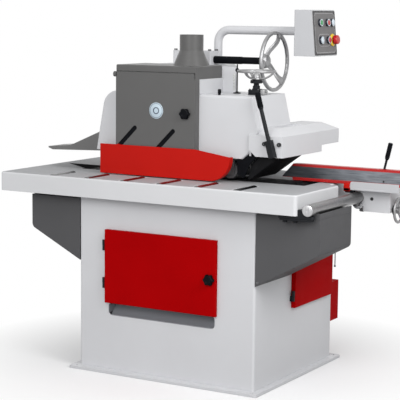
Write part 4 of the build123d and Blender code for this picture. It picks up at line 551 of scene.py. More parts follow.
# Which CAD nodes get which finish; the table rollers, not listed, are rollerSteel
finishNodes = {
    "whiteEnamel": (
        "base_plate", "cabinet", "column", "head_housing", "gear_block", "kickback_hood", "fence_carriage",
        "pendant_pipe",
    ),
    "doorRed": ("cabinet_door", "side_door", "rear_cover"),
    "guardRed": ("blade_guard",),
    "hoodGrey": ("dust_hood", "hood_door"),
    "coverGrey": ("outfeed_chain_cover", "infeed_chain_cover"),
    # painted light: the deflector is the hood's grey paint drawn lighter
    "hoodGreyLit": ("outfeed_deflector",),
    # painted light: the recess takes a much lighter grey than the covers' paint to lift its shade
    "recessGreyLit": ("front_recess",),
    "motorGrey": ("feed_gear_motor", "saw_motor"),
    "boxGreyAndShadedLip": ("control_box",),
    "panelGrey": ("control_panel",),
    "greenCap": ("start_button",),
    "redCap": ("stop_button", "estop_button"),
    "blackEnamel": (
        "door_hinges", "bearing_block", "thickness_rod", "kickback_lever", "rail_brackets", "fence_lever",
    ),
    "blackPlastic": ("door_knob", "hood_knob"),
    "blackRubber": ("shaft_sleeve",),
    "castIron": ("chain_bed", "arbor_housing", "infeed_press", "outfeed_press"),
    "castSilver": ("fence_wheel",),
    "chainIron": ("feed_chain", "finger_row"),
    "rollerGrey": ("infeed_roller", "outfeed_roller"),
    "groundSteel": ("feed_shafts", "arbor_bearings", "arbor_shaft", "lift_screw"),
    "bladeSteel": ("saw_blade",),
    "darkSteel": ("blade_clamp",),
    "brightChrome": ("arbor_wheel", "press_wheel"),
    "tableFinish": ("table",),
    "fenceFinish": ("fence",),
    "railFinish": ("fence_rail",),
}
nodeFinish = {node: finish for finish, group in finishNodes.items() for node in group}
for name, node in nodes.items():
    finish = finishes[nodeFinish.get(name, "rollerSteel")]
    for socket in node.material_slots:
        socket.material = finish
print("CAD nodes finished:", len(nodes))


# Shape tools: every shape is made in millimetres about its own axis, then placed into its piece
toMetres = 0.001
toMillimetres = 1000
mergeGap = 0.005
sharpAngle = 32
toFront = (0, -1, 0)
toInfeed = (1, 0, 0)
downward = (0, 0, -1)


def turnTo(direction):
    return Vector(direction).to_track_quat("Z", "Y").to_matrix().to_4x4()


def shift(x, y, z):
    return Matrix.Translation((x, y, z))


def aim(place, direction=None, around=0.0):
    turn = turnTo(direction) if direction else Matrix.Identity(4)
    spin = Matrix.Rotation(radians(around), 4, "Z")
    return Matrix.Translation(Vector(place) * toMetres) @ turn @ spin @ Matrix.Scale(toMetres, 4)


def arcPoints(centre, radius, start, end, steps):
    turns = [radians(start + (end - start) * k / steps) for k in range(steps + 1)]
    return [(centre[0] + radius * cos(turn), centre[1] + radius * sin(turn)) for turn in turns]


def longOval(left, right, radius, steps, start=0.0):
    outline = []
    for k in range(steps):
        turn = radians(start) + 2 * pi * k / steps
        middle = right if cos(turn) > 0 else left
        outline.append((middle + radius * cos(turn), radius * sin(turn)))
    return outline


def profileLine(bm, profile):
    points = [bm.verts.new((radius, 0, height)) for radius, height in profile]
    return points, [bm.edges.new(pair) for pair in zip(points, points[1:])]


def turnProfile(profile, steps, closed=False):
    bm = bmesh.new()
    points, edges = profileLine(bm, profile)
    if closed:
        edges.append(bm.edges.new((points[-1], points[0])))
    bmesh.ops.spin(
        bm, geom=points + edges, cent=(0, 0, 0), axis=(0, 0, 1), angle=2 * pi, steps=steps, use_merge=True
    )
    return bm


def ringEdges(made):
    return list({edge for vert in made["verts"] for edge in vert.link_edges})


def bridgeRings(bm, rings):
    for first, second in zip(rings, rings[1:]):
        bmesh.ops.bridge_loops(bm, edges=first + second)
    bmesh.ops.holes_fill(bm, edges=rings[0] + rings[-1], sides=len(rings[0]))


def sweepOvals(path, segments=14):
    bm = bmesh.new()
    rings = []
    for place, direction, wide, high in path:
        spot = Matrix.Translation(place) @ turnTo(direction) @ Matrix.Diagonal((wide, high, 1, 1))
        rings.append(ringEdges(bmesh.ops.create_circle(bm, segments=segments, radius=1, matrix=spot)))
    bridgeRings(bm, rings)
    return bm


def lobedKnob(radius, lobes, layers):
    bm = bmesh.new()
    rings = []
    for height, share, depth in layers:
        level = shift(0, 0, height)
        made = bmesh.ops.create_circle(bm, segments=lobes * 10, radius=radius * share, matrix=level)
        for vert in made["verts"]:
            swell = 1 - depth + depth * cos(lobes * atan2(vert.co.y, vert.co.x))
            vert.co.x *= swell
            vert.co.y *= swell
        rings.append(ringEdges(made))
    bridgeRings(bm, rings)
    return bm


def flatFace(outline):
    bm = bmesh.new()
    return bm, bm.faces.new([bm.verts.new((x, y, 0)) for x, y in outline])


def raiseFaces(bm, faces, thick):
    raised = bmesh.ops.extrude_face_region(bm, geom=faces)
    upper = [item for item in raised["geom"] if isinstance(item, bmesh.types.BMVert)]
    bmesh.ops.translate(bm, verts=upper, vec=(0, 0, thick))


def cutPlate(outline, thick):
    bm, face = flatFace(outline)
    raiseFaces(bm, [face], thick)
    bmesh.ops.holes_fill(bm, edges=bm.edges[:], sides=0)
    return bm


def outlineBand(outline, width, thick):
    bm, face = flatFace(outline)
    face.normal_update()
    bmesh.ops.inset_region(bm, faces=[face], thickness=width, use_even_offset=True, use_boundary=True)
    bmesh.ops.delete(bm, geom=[face], context="FACES")
    raiseFaces(bm, bm.faces[:], thick)
    return bm


def bevelEdges(bm, edges, offset, segments):
    bmesh.ops.bevel(
        bm, geom=edges, offset=offset, affect="EDGES", segments=segments, profile=0.5, material=-1
    )


def roundBlock(size, bevel, segments):
    bm = bmesh.new()
    bmesh.ops.create_cube(bm, size=1, matrix=Matrix.Diagonal((*size, 1)))
    bevelEdges(bm, bm.edges[:], bevel, segments)
    return bm


def placeBlock(middle, size, edge, segments=3):
    return roundBlock(size, edge, segments), aim(middle)


def hexBolt(across, height):
    washer = across * 0.62
    corner = across * 0.577
    rise = height * 0.18
    bm = turnProfile([(0, 0), (washer, 0), (washer, rise), (0, rise)], 24)
    lift = shift(0, 0, (rise + height) / 2)
    made = bmesh.ops.create_cone(
        bm, cap_ends=True, segments=6, radius1=corner, radius2=corner, depth=height - rise, matrix=lift
    )
    crown = [edge for edge in ringEdges(made) if all(vert.co.z > height - 0.01 for vert in edge.verts)]
    bevelEdges(bm, crown, height * 0.14, 2)
    return bm


def capScrew(radius, height):
    well = height * 0.45
    return turnProfile(
        [
            (0, well), (radius * 0.48, well), (radius * 0.5, height), (radius * 0.85, height),
            (radius, height * 0.84), (radius, 0), (0, 0),
        ],
        18,
    )


def threadRod(plan):
    crest, pitch = plan["screwRadius"], plan["screwPitch"]
    root = crest - plan["threadDepth"]
    turns = round(plan["screwLength"] / pitch)
    steps = 20
    tooth = [(root, 0), (root, pitch * 0.25), (crest, pitch * 0.5), (crest, pitch * 0.75), (root, pitch)]
    bm = bmesh.new()
    points, edges = profileLine(bm, tooth)
    bmesh.ops.spin(
        bm, geom=points + edges, cent=(0, 0, 0), axis=(0, 0, 1), angle=2 * pi * turns, steps=steps * turns,
        dvec=(0, 0, pitch / steps),
    )
    return bm


def joinShape(bm, shape, spot):
    bmesh.ops.remove_doubles(shape, verts=shape.verts[:], dist=mergeGap)
    bmesh.ops.recalc_face_normals(shape, faces=shape.faces[:])
    shape.transform(spot)
    carrier = makeMesh("carrier", shape)
    bm.from_mesh(carrier)
    bpy.data.meshes.remove(carrier)


def makePiece(name, parts, finish, body, slot, *replaced):
    # parts: each shape with the spot it goes to
    bm = bmesh.new()
    for shape, spot in parts:
        joinShape(bm, shape, spot)
    for face in bm.faces:
        face.smooth = True
    mesh = makeMesh(name, bm)
    mesh.set_sharp_from_angle(angle=radians(sharpAngle))
    mesh.materials.append(finishes[finish])
    piece = addObject(name, mesh)
    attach(piece, body)
    if replaced:
        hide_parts(*replaced)


# Cast hand wheels: round rim with finger scallops, swept spokes, turned hub
def smoothStep(share):
    return share * share * (3 - 2 * share)


def bowlRise(share):
    return share ** 2.6


def wheelRim(plan):
    radius, thick, scallops = plan["rimRadius"], plan["rimThick"], plan["scallops"]
    section = arcPoints((radius, plan["rimHeight"]), thick, 0, 360, 14)[:-1]
    bm = turnProfile(section, scallops * 6, closed=True)
    for vert in bm.verts:
        reach = vert.co.xy.length
        inward = max(0.0, (radius - reach) / thick)
        wave = 0.5 - 0.5 * cos(scallops * atan2(vert.co.y, vert.co.x))
        vert.co.xy *= 1 + inward * wave * plan["scallopDepth"] / reach
    return bm


def wheelSpoke(plan, angle):
    turn = radians(angle)
    along = Vector((cos(turn), sin(turn), 0))
    across = Vector((-sin(turn), cos(turn), 0))
    last = plan["spokeRings"] - 1
    line = []
    for k in range(last + 1):
        share = k / last
        reach = plan["spokeStart"] + (plan["spokeEnd"] - plan["spokeStart"]) * share
        height = plan["spokeLow"] + (plan["spokeHigh"] - plan["spokeLow"]) * plan["spokeRise"](share)
        swing = plan["spokeSwing"] * sin(2 * pi * share)
        line.append(along * reach + across * swing + Vector((0, 0, height)))
    path = []
    for k, place in enumerate(line):
        step = line[min(k + 1, last)] - line[max(k - 1, 0)]
        waist = 1 - plan["spokeWaist"] * sin(pi * k / last)
        path.append((place, step, plan["spokeWide"] * waist, plan["spokeThick"]))
    return sweepOvals(path)


def wheelParts(plan, spot):
    shapes = [wheelRim(plan)]
    shapes += [wheelSpoke(plan, angle) for angle in plan["spokeAngles"]]
    shapes.append(turnProfile(plan["hub"], plan["hubSteps"]))
    return [(shape, spot) for shape in shapes]


bigWheelPlan = {
    "hubBack": (183.3, 140, 1351),
    "rimRadius": 124, "rimThick": 8.8, "rimHeight": 60, "scallops": 20, "scallopDepth": 1.6,
    "spokeAngles": (70, 190, 310), "spokeRings": 13, "spokeStart": 10, "spokeEnd": 119,
    "spokeRise": smoothStep, "spokeLow": 20, "spokeHigh": 59, "spokeSwing": 6,
    "spokeWide": 19, "spokeThick": 6.5, "spokeWaist": 0.34, "hubSteps": 48,
    "hub": [
        (0, 0), (23, 0), (29, 3), (32.5, 11), (31.5, 19), (28, 26), (22, 31), (15, 33.6), (8, 34.4),
        (0, 34.6),
    ],
    "shaft": [(0, -384.3), (11.8, -384.3), (19, -376.5), (9, -376), (9, -1), (0, -1)],
    "bossReach": 114, "bossFoot": 60,
    "boss": [(0, 0), (9, 0), (9.5, 5), (8, 10), (5, 10.6), (4, 9), (0, 9)],
}


def buildBigWheel(plan):
    spot = aim(plan["hubBack"], toInfeed)
    turn = radians(plan["spokeAngles"][0])
    reach = plan["bossReach"]
    parts = wheelParts(plan, spot)
    parts.append((turnProfile(plan["shaft"], 32), spot))
    onRim = shift(reach * cos(turn), reach * sin(turn), plan["bossFoot"])
    parts.append((turnProfile(plan["boss"], 24), spot @ onRim))
    makePiece("bigHandWheel", parts, "castSilver", "lift_wheel", "chrome", "arbor_wheel")


smallWheelPlan = {
    "base": (275, -83, 1265.3),
    "rimRadius": 78, "rimThick": 5.9, "rimHeight": 50.7, "scallops": 16, "scallopDepth": 1.0,
    "spokeAngles": (20, 140, 260), "spokeRings": 13, "spokeStart": 10, "spokeEnd": 76,
    "spokeRise": bowlRise, "spokeLow": 19, "spokeHigh": 50, "spokeSwing": 3,
    "spokeWide": 8.5, "spokeThick": 4.2, "spokeWaist": 0.3, "hubSteps": 40,
    "hub": [(0, 14), (17, 14), (18.5, 17), (17, 27), (14, 37), (12, 40), (6, 40), (5.5, 38), (0, 38)],
    "flange": [
        (0, -9.3), (11.6, -9.3), (11.6, -0.8), (13, 0), (24, 0), (26, 2), (26, 11), (23, 14), (0, 14),
    ],
    "screwRadius": 10, "threadDepth": 1.2, "screwPitch": 5, "screwLow": -319.3, "screwLength": 320,
}


def buildSmallWheel(plan):
    spot = aim(plan["base"])
    wheel = wheelParts(plan, spot)
    makePiece("smallHandWheel", wheel, "castSilver", "press_spindle", "chrome", "press_wheel")
    flange = (turnProfile(plan["flange"], 40), spot)
    makePiece("smallWheelFlange", [flange], "blackEnamel", "press_spindle", "black_paint")
    thread = (threadRod(plan), spot @ shift(0, 0, plan["screwLow"]))
    makePiece("pressScrew", [thread], "groundSteel", "press_spindle", "steel")


liftScrewPlan = {
    "base": (-214, 140, 985),
    "screwRadius": 11, "threadDepth": 1.4, "screwPitch": 5, "screwLength": 345,
    "core": [(0, 1), (9.6, 1), (9.6, 344), (0, 344)],
    "cone": [(0, 344), (19, 345), (11.8, 352.8), (0, 353)],
}


def buildLiftScrew(plan):
    spot = aim(plan["base"])
    shapes = (threadRod(plan), turnProfile(plan["core"], 20), turnProfile(plan["cone"], 32))
    parts = [(shape, spot) for shape in shapes]
    makePiece("liftScrewThread", parts, "groundSteel", "lift_spindle", "steel", "lift_screw")


buildBigWheel(bigWheelPlan)
buildSmallWheel(smallWheelPlan)
buildLiftScrew(liftScrewPlan)
print("hand wheels and screws made")

# Rubber sleeve round the lift shaft: close ribs, a thicker half by the gear block
sleevePlan = {
    "start": (-57, 140, 1351), "length": 240, "bore": 9.2, "radius": 16.9, "thinRadius": 15.6, "step": 140,
    "cuff": 6, "cuffGap": 8, "chamfer": 1.5, "endChamfer": 1,
    "rib": 4, "ribGap": 1, "groove": 0.9, "crest": 0.2,
}


def buildSleeve(plan):
    bore, wide, thin, end = plan["bore"], plan["radius"], plan["thinRadius"], plan["length"]
    chamfer, endChamfer, rib, gap = plan["chamfer"], plan["endChamfer"], plan["rib"], plan["ribGap"]
    profile = [(bore, 0), (wide - chamfer, 0), (wide, chamfer), (wide, plan["cuff"])]
    for height in range(plan["cuffGap"], end - plan["cuffGap"], rib):
        reach = wide if height < plan["step"] else thin
        crest = reach - plan["crest"]
        profile += [(reach - plan["groove"], height), (crest, height + gap), (crest, height + rib - gap)]
    profile += [(thin, end - plan["cuff"]), (thin, end - endChamfer), (thin - endChamfer, end), (bore, end)]
    parts = [(turnProfile(profile, 40, closed=True), aim(plan["start"], toInfeed))]
    makePiece("ribbedSleeve", parts, "blackRubber", "frame", "black_paint", "shaft_sleeve")


buildSleeve(sleevePlan)

# Star knobs of the cabinet door and the hood door
knobPlan = {
    "lobes": 6, "fill": 0.98,
    "layers": [
        (0, 0.30, 0), (5, 0.32, 0), (7, 0.62, 0.04), (9, 0.92, 0.08), (12, 1.0, 0.10), (19, 1.0, 0.10),
        (22.5, 0.93, 0.09), (24, 0.80, 0.06), (24.4, 0.5, 0.02), (23.6, 0.42, 0), (23.4, 0.1, 0),
    ],
}


def buildKnob(name, node, body, plan):
    low, high = (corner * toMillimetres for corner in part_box(node))
    radius = (high.x - low.x) / 2
    seat = ((low.x + high.x) / 2, high.y, (low.z + high.z) / 2)
    share = (high.y - low.y) / plan["layers"][-2][0] * plan["fill"]
    layers = [(height * share, size, depth) for height, size, depth in plan["layers"]]
    parts = [(lobedKnob(radius, plan["lobes"], layers), aim(seat, toFront))]
    makePiece(name, parts, "blackPlastic", body, "black_plastic", node)


buildKnob("doorStarKnob", "door_knob", "front_knob", knobPlan)
buildKnob("hoodStarKnob", "hood_knob", "hood_clamp", knobPlan)
print("sleeve and star knobs made")

# Lever grips: ribbed sleeves slipped over the bars; neck to tip are shares of the radius
gripPlan = {
    "neck": 0.72, "shoulder": 0.8, "groove": 1.02, "rib": 1.12, "crown": 1.1, "tip": 0.9,
    "ribStep": 6, "plainEnd": 12,
    "kick": {"pivot": (424, -220, 985), "lean": -16, "start": 188, "length": 72, "radius": 11.1, "bar": 8.0},
    "fence": {"pivot": (811, 43, 904), "lean": 13, "start": 60, "length": 72, "radius": 9.1, "bar": 4.8},
}


def buildGrip(name, plan, lever, body):
    shares = ("neck", "shoulder", "groove", "rib", "crown", "tip")
    neck, shoulder, groove, rib, crown, tip = (plan[share] * lever["radius"] for share in shares)
    bar, end = lever["bar"], lever["length"]
    profile = [(bar, 0), (neck, 0), (shoulder, 2), (groove, 9)]
    for height in range(plan["plainEnd"], end - plan["plainEnd"], plan["ribStep"]):
        profile += [(groove, height), (rib, height + 1.2), (rib, height + 3), (groove, height + 4.2)]
    profile += [(crown, end - 8), (crown, end - 3), (tip, end), (0, end + 0.6), (0, end - 4), (bar, end - 4)]
    lean = radians(lever["lean"])
    along = Vector((sin(lean), 0, cos(lean)))
    spot = aim(Vector(lever["pivot"]) + along * lever["start"], along)
    makePiece(name, [(turnProfile(profile, 28, closed=True), spot)], "blackRubber", body, "rubber_black")


buildGrip("kickLeverGrip", gripPlan, gripPlan["kick"], "finger_unit")
buildGrip("fenceLeverGrip", gripPlan, gripPlan["fence"], "fence_lock")

# Control panel: edge frame, printed lines, barrels, lamp lenses and the yellow ring
panelPlan = {
    "foot": (456, 212.5, 1378), "lean": 18, "height": 198, "sheet": 3, "lift": 0.05,
    "halfWide": 107.5, "low": 5, "high": 193.8,
    "frame": {"inset": 0.2, "clip": 3, "wide": 4.4, "thick": 1.2},
    "line": {"inset": 8.8, "clip": 12, "wide": 2.3, "thick": 0.25},
    "oval": {"left": -44, "right": 24, "radius": 27, "height": 68.3},
    "screws": ((-100.5, 12), (-100.5, 186.8), (100.5, 12), (100.5, 186.8)), "screwSize": (4, 3),
    "lamps": {"white": ((283, 1521), (166, 1446)), "red": ((239, 1446),)},
    "buttons": ((166, 1521), (239, 1521)),
    "stop": (283, 1446), "stopLift": 0.1,
    "barrelRadius": 16.8, "barrelHeight": 10.2, "capRadius": 10.8,
    "yellowInner": 15, "yellowOuter": 27,
}


def buildPanel(plan):
    tilt = atan2(plan["lean"], plan["height"])
    normal = Vector((cos(tilt), 0, sin(tilt)))
    upward = Vector((-sin(tilt), 0, cos(tilt)))
    foot = Vector(plan["foot"])

    def onPanel(y, z, out=0.0):
        rise = (z - foot.z) / cos(tilt)
        return aim(Vector((foot.x, y, foot.z)) + upward * rise + normal * (plan["sheet"] + out), normal)

    def clippedBand(band):
        clip = band["clip"]
        wide = plan["halfWide"] - band["inset"]
        low = plan["low"] + band["inset"]
        high = plan["high"] - band["inset"]
        outline = [
            (-wide + clip, low), (wide - clip, low), (wide, low + clip), (wide, high - clip),
            (wide - clip, high), (-wide + clip, high), (-wide, high - clip), (-wide, low + clip),
        ]
        return outlineBand(outline, band["wide"], band["thick"])

    seat = onPanel(foot.y, foot.z, plan["lift"])
    line, oval = plan["line"], plan["oval"]
    makePiece("panelFrame", [(clippedBand(plan["frame"]), seat)], "panelDark", "pendant", "black_paint")
    around = longOval(oval["left"], oval["right"], oval["radius"], 36)
    ovalBand = outlineBand(around, line["wide"], line["thick"])
    lines = [(clippedBand(line), seat), (ovalBand, seat @ shift(0, oval["height"], 0))]
    makePiece("panelLines", lines, "printGrey", "pendant", "panel_grey")
    screws = [(capScrew(*plan["screwSize"]), seat @ shift(y, rise, 0)) for y, rise in plan["screws"]]
    makePiece("panelScrews", screws, "darkSteel", "pendant", "steel")

    outer = plan["barrelRadius"]
    tall = plan["barrelHeight"]
    inner = plan["capRadius"]
    barrel = [(outer, 0), (outer, tall - 2), (outer - 1.2, tall), (outer - 1.2, tall - 1), (outer - 0.2, 0)]
    rim = [
        (inner + 0.9, tall - 0.5), (inner + 0.9, tall + 0.5), (outer - 1.2, tall + 0.5),
        (outer - 1.0, tall - 0.5),
    ]
    lens = [
        (0, 0), (inner + 0.8, 0), (inner + 0.8, tall + 1), (inner - 1, tall + 2.6),
        (inner * 0.55, tall + 3.5), (0, tall + 3.9),
    ]
    lamps = plan["lamps"]
    spots = [onPanel(*place) for place in (*plan["buttons"], *lamps["white"], *lamps["red"])]
    barrels = [(turnProfile(barrel, 40, closed=True), spot) for spot in spots]
    makePiece("buttonBarrels", barrels, "barrelBlue", "pendant", "black_plastic")
    rims = [(turnProfile(rim, 40, closed=True), spot) for spot in spots]
    makePiece("buttonRims", rims, "lampWhite", "pendant", "chrome")
    for colour, finish, slot in (("white", "lampWhite", "panel_grey"), ("red", "redCap", "red_plastic")):
        lenses = [(turnProfile(lens, 36), onPanel(*place)) for place in lamps[colour]]
        makePiece(colour + "Lamps", lenses, finish, "pendant", slot)
    near, far = plan["yellowInner"], plan["yellowOuter"]
    ring = [(near, 0), (near, 6.5), (near + 1.5, 7.5), (far - 6, 7.5), (far, 3), (far, 0)]
    parts = [(turnProfile(ring, 48, closed=True), onPanel(*plan["stop"], plan["stopLift"]))]
    makePiece("stopRing", parts, "plateYellow", "pendant", "panel_grey")


buildPanel(panelPlan)
print("grips and control panel made")

# Hood door: rolled top edge about the hinge, plain round disc, dark seals behind the guard slots
hoodPlan = {
    "hinge": (-222, 1291), "rollRadius": 14.2, "rollInner": 11.5, "rollTurn": (135, 90), "rollX": (-334, 55),
    "disc": (-132, -232, 1140), "discRadius": 35, "rings": ((11, 15), (30, 31.4)),
    "slots": ((-326, 976), (-132, 970)), "slotRun": 122, "slotRadius": 12.5, "slotTilt": 45,
    "sealY": -228.95, "sealThick": 0.6, "sealSteps": 20, "sealStart": 99,
}


def buildHoodTrim(plan):
    reach = plan["discRadius"]
    spot = aim(plan["disc"], toFront)
    disc = [(0, 0), (reach, 0), (reach, 0.7), (reach - 0.6, 1), (0, 1)]
    makePiece("hoodDisc", [(turnProfile(disc, 56), spot)], "discBlue", "hood_front", "panel_grey")
    rings = []
    for inner, outer in plan["rings"]:
        band = [(inner, 0.9), (outer, 0.9), (outer, 1.3), (inner, 1.3)]
        rings.append((turnProfile(band, 56, closed=True), spot))
    makePiece("hoodDiscRings", rings, "ringSlate", "hood_front", "black_paint")
    thick = plan["sealThick"]
    seal = longOval(0, plan["slotRun"], plan["slotRadius"], plan["sealSteps"], plan["sealStart"])
    places = [(x, plan["sealY"] + thick, z) for x, z in plan["slots"]]
    seals = [(cutPlate(seal, thick), aim(place, toFront, plan["slotTilt"])) for place in places]
    makePiece("slotSeals", seals, "blackRubber", "hood_front", "rubber_black")
    first, last = plan["rollTurn"]
    start, end = plan["rollX"]
    roll = arcPoints(plan["hinge"], plan["rollRadius"], first, last, 10)
    roll += arcPoints(plan["hinge"], plan["rollInner"], last, first, 10)
    parts = [(cutPlate(roll, end - start), aim((start, 0, 0), toInfeed))]
    makePiece("hoodRoll", parts, "hoodGrey", "hood_front", "grey_paint")


buildHoodTrim(hoodPlan)

# Arm and head: thickness scale, oil cup, rod foot, screw lock, chip flap
headPlan = {
    "scale": (120.5, 0, 1262), "scaleSize": (9, 72, 1), "scaleEdge": 0.4,
    "tickStep": 6, "tickHigh": 1.2, "tickThick": 0.4, "tickEdge": 0.1, "tickLift": 0.15, "tickMargin": 0.4,
    "tickShares": (0.8, 0.5),
    "oiler": (152, -183, 1216),
    "cup": [(0, 0), (6, 0), (6, 7), (7.2, 8), (7.2, 20), (6.4, 23), (4, 24.6), (0, 25)],
    "rodFoot": (158, -40, 1216),
    "foot": [(3.4, 0), (16, 0), (16, 3.4), (14.5, 4.6), (7, 5), (6, 9), (3.4, 9)],
    "lock": ((308, -78, 1228.6), (21, 36, 25), 5),  # a block's middle, size and rounded edge
    "lockScrew": (318.5, -78, 1230.6), "lockScrewSize": (5, 6),
    "flap": ((249, 951), (274, 951), (316, 986), (341, 965), (309, 935), (281, 872), (250, 886)),
    "flapY": -189, "flapThick": 5,
}


def buildHeadTrim(plan):
    wide, tall, thick = plan["scaleSize"]
    spot = aim(plan["scale"], toFront)
    scale = (roundBlock(plan["scaleSize"], plan["scaleEdge"], 2), spot @ shift(0, 0, thick / 2))
    makePiece("thicknessScale", [scale], "scalePlate", "frame", "panel_grey")
    ticks = []
    for k in range(int(tall / plan["tickStep"]) - 1):
        length = wide * plan["tickShares"][k % 2]
        level = (k + 1) * plan["tickStep"] - tall / 2
        tick = roundBlock((length, plan["tickHigh"], plan["tickThick"]), plan["tickEdge"], 1)
        place = shift((wide - length) / 2 - plan["tickMargin"], level, thick + plan["tickLift"])
        ticks.append((tick, spot @ place))
    makePiece("thicknessTicks", ticks, "inkBlack", "frame", "black_paint")
    cup = (turnProfile(plan["cup"], 28), aim(plan["oiler"]))
    makePiece("oilCup", [cup], "blackPlastic", "frame", "black_plastic")
    foot = (turnProfile(plan["foot"], 32, closed=True), aim(plan["rodFoot"]))
    makePiece("rodFoot", [foot], "blackEnamel", "frame", "black_paint")
    lock = placeBlock(*plan["lock"], 4)
    screw = (capScrew(*plan["lockScrewSize"]), aim(plan["lockScrew"], toInfeed))
    makePiece("screwLock", [lock, screw], "castSilver", "frame", "steel")
    flap = (cutPlate(plan["flap"], plan["flapThick"]), aim((0, plan["flapY"], 0), toFront))
    makePiece("chipFlap", [flap], "blackRubber", "frame", "rubber_black")


buildHeadTrim(headPlan)
print("hood, arm and head trim made")

# Small hardware: bolts, bracket pad, pin sleeves, hinge sleeves, rail end, plugs and the pipe's collar
hardwarePlan = {
    "armBolts": ((-243, 110, 1390), (-67, 110, 1390), (-243, 170, 1390), (-67, 170, 1390)),
    "armBoltSize": (13, 8),
    "blockScrews": ((251, -97, 1238), (291, -97, 1238), (251, -69, 1238), (291, -69, 1238)),
    "blockScrewSize": (4, 4),
    "bracketPad": ((634, -401, 750.5), (142, 30, 9), 3),
    "bracketBolts": ((582, -401, 746), (627, -401, 746)), "bracketBoltSize": (17, 9),
    "coverBolt": (446, -370, 470), "coverBoltSize": (10, 5),
    "stopPins": ((384, -205, 1023), (452, -205, 1023)),
    "pinLength": 12.6, "pinRadius": 8.3, "pinWall": 0.25,
    "hingeSleeve": [(6.6, 0), (7.1, 0.4), (7.1, 22.6), (6.6, 23), (6.52, 23), (6.52, 0)],
    "frontKnuckles": ((-301, -382, 395), (-301, -382, 560)),
    "endKnuckles": ((449, -45, 360), (449, -45, 500)),
    "railEnd": (690, -421, 792),
    "railFace": [(0, 0.3), (4.2, 0.3), (4.6, 1.2), (21.4, 1.2), (23.4, 0), (0, 0)],
    "carriagePlug": (751, 70, 790), "carriagePlugSize": (7, 1.8),
    "fenceHoleShade": (823, 19.9, 873), "fenceHoleShadeSize": (4.2, 0.8),
    "pipeSocket": (344, 232, 1483),
    "socket": [(19.05, 0), (21, 0.6), (21.6, 3), (21.6, 11), (19.05, 11.8)],
}


def buildHardware(plan):
    bolts = [(hexBolt(*plan["armBoltSize"]), aim(place)) for place in plan["armBolts"]]
    bolts += [(capScrew(*plan["blockScrewSize"]), aim(place)) for place in plan["blockScrews"]]
    bolts.append((hexBolt(*plan["coverBoltSize"]), aim(plan["coverBolt"], toFront)))
    makePiece("machineBolts", bolts, "darkSteel", "frame", "steel")

    pad = [placeBlock(*plan["bracketPad"])]
    pad += [(hexBolt(*plan["bracketBoltSize"]), aim(place, downward)) for place in plan["bracketBolts"]]
    makePiece("bracketPad", pad, "blackEnamel", "frame", "black_paint")

    tall, reach = plan["pinLength"], plan["pinRadius"]
    bore = reach - plan["pinWall"]
    cap = [
        (0, tall - 0.8), (reach - 3, tall), (reach - 1, tall), (reach, tall - 1), (reach, 0.2), (bore, 0.2),
        (bore, tall - 1.2), (0, tall - 1.2),
    ]
    caps = [(turnProfile(cap, 28, closed=True), aim(place, toFront)) for place in plan["stopPins"]]
    makePiece("stopPinSleeves", caps, "blackEnamel", "frame", "black_paint")

    for name, body, knuckles in (
        ("frontHingeSleeves", "front_door", plan["frontKnuckles"]),
        ("endHingeSleeves", "end_door", plan["endKnuckles"]),
    ):
        sleeves = [(turnProfile(plan["hingeSleeve"], 28, closed=True), aim(place)) for place in knuckles]
        makePiece(name, sleeves, "blackEnamel", body, "black_paint")

    face = (turnProfile(plan["railFace"], 48), aim(plan["railEnd"], toFront))
    makePiece("railEndFace", [face], "groundSteel", "frame", "steel")
    # painted shade: the fence's hole is drawn as a flush black disc
    plugs = [
        (capScrew(*plan[name + "Size"]), aim(plan[name], toFront)) for name in ("carriagePlug", "fenceHoleShade")
    ]
    makePiece("carriagePlugs", plugs, "inkBlack", "fence_unit", "black_paint")
    socket = (turnProfile(plan["socket"], 40, closed=True), aim(plan["pipeSocket"], toInfeed))
    makePiece("pipeSocket", [socket], "whiteEnamel", "pendant", "white_paint")


buildHardware(hardwarePlan)
print("small hardware made")

# Screw bearing under the small wheel: block with a stepped collar
bearingPlan = {
    "block": ((271, -83, 1227), (52, 40, 22), 3), "axis": (275, -83, 1216),
    "collar": [(10.4, 20), (18, 20), (18, 24), (15.5, 26), (15.5, 37.5), (13.5, 39.5), (10.4, 39.5)],
}


def buildBearing(plan):
    collar = (turnProfile(plan["collar"], 40, closed=True), aim(plan["axis"]))
    parts = [placeBlock(*plan["block"]), collar]
    makePiece("screwBearing", parts, "blackEnamel", "frame", "black_paint", "bearing_block")


buildBearing(bearingPlan)

# Fence carriage: front lip over the fence's foot, red stop block with its pad, rack cover, wheel bearing
carriagePlan = {
    "lipFront": 12.7, "lipThick": 1.2, "lipCorner": 9,
    "lip": {"left": 676, "right": 895, "low": 829, "high": 865.2},
    "sill": ((755, 41.4, 833.5), (158, 57, 9), 2.5),
    "stop": (((660.5, 11.2, 841), (27, 5.4, 35), 1.6), ((660.5, 27.5, 831), (27, 38, 13.6), 1.6)),
    "pad": ((671, 27, 820.8), (34, 36, 7), 2.2),
    "coverY": 62, "coverThick": 27, "coverCentre": (690, 768), "coverRadius": 24,
    "notchHalf": 10.5, "notchLow": 757,
    "bearing": (835, 110, 746), "bearingProfile": [(8.4, 0), (21, 0), (21, 2.6), (20, 3.5), (8.4, 3.5)],
}


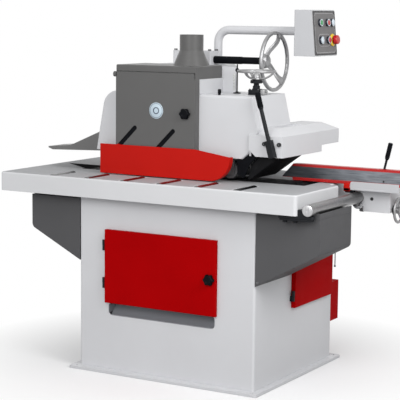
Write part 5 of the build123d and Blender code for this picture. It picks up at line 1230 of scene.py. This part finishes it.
def buildCarriage(plan):
    lip, corner = plan["lip"], plan["lipCorner"]
    outline = [(lip["right"], lip["high"]), (lip["right"], lip["low"]), (lip["left"], lip["low"])]
    outline += arcPoints((lip["left"] + corner, lip["high"] - corner), corner, 180, 90, 6)
    middle, height = plan["coverCentre"]
    left, right, notch = middle - plan["notchHalf"], middle + plan["notchHalf"], plan["notchLow"]
    cover = arcPoints(plan["coverCentre"], plan["coverRadius"], 180, 360, 16)
    cover += [(right, height), (right, notch), (left, notch), (left, height)]
    lipBack = (0, plan["lipFront"] + plan["lipThick"], 0)
    coverBack = (0, plan["coverY"] + plan["coverThick"], 0)
    parts = [
        (cutPlate(outline, plan["lipThick"]), aim(lipBack, toFront)),
        placeBlock(*plan["sill"]),
        (cutPlate(cover, plan["coverThick"]), aim(coverBack, toFront)),
    ]
    # painted shade: the lip is part of the white casting but takes the darker box grey, toning down its lit
    # front face
    makePiece("carriageLip", parts, "boxGreyAndShadedLip", "fence_unit", "white_paint")
    foot = [placeBlock(*block) for block in plan["stop"]]
    makePiece("fenceFoot", foot, "guardRed", "fence_unit", "red_paint")
    makePiece("fenceFootPad", [placeBlock(*plan["pad"])], "blackRubber", "fence_unit", "rubber_black")
    bearing = (turnProfile(plan["bearingProfile"], 36, closed=True), aim(plan["bearing"], toInfeed))
    makePiece("wheelBearing", [bearing], "blackEnamel", "fence_unit", "black_paint")


buildCarriage(carriagePlan)

# Infeed cover: upper edge folded up to the table, thin pull rod under it
coverPlan = {
    "endWall": ((720.7, -220, 763), (3.2, 300, 26), 0.8),
    "frontWall": ((447, 750), (722, 750), (722, 776), (650, 776), (650, 766.4), (447, 766.4)),
    "frontY": -370.3, "sheet": 3,
    "rodTop": (690, -152, 602),
    "rod": [(0, 0), (2.2, 0), (2.2, -66), (4.2, -68), (4.6, -71), (3, -74), (0, -74.5)],
}


def buildCoverEdge(plan):
    end = placeBlock(*plan["endWall"], 2)
    frontBack = (0, plan["frontY"] + plan["sheet"], 0)
    front = (cutPlate(plan["frontWall"], plan["sheet"]), aim(frontBack, toFront))
    makePiece("coverEdge", [end, front], "coverGrey", "frame", "cover_grey")
    rod = (turnProfile(plan["rod"], 20), aim(plan["rodTop"]))
    makePiece("pullRod", [rod], "darkSteel", "frame", "steel")


buildCoverEdge(coverPlan)
print("bearing, carriage and cover edges made")
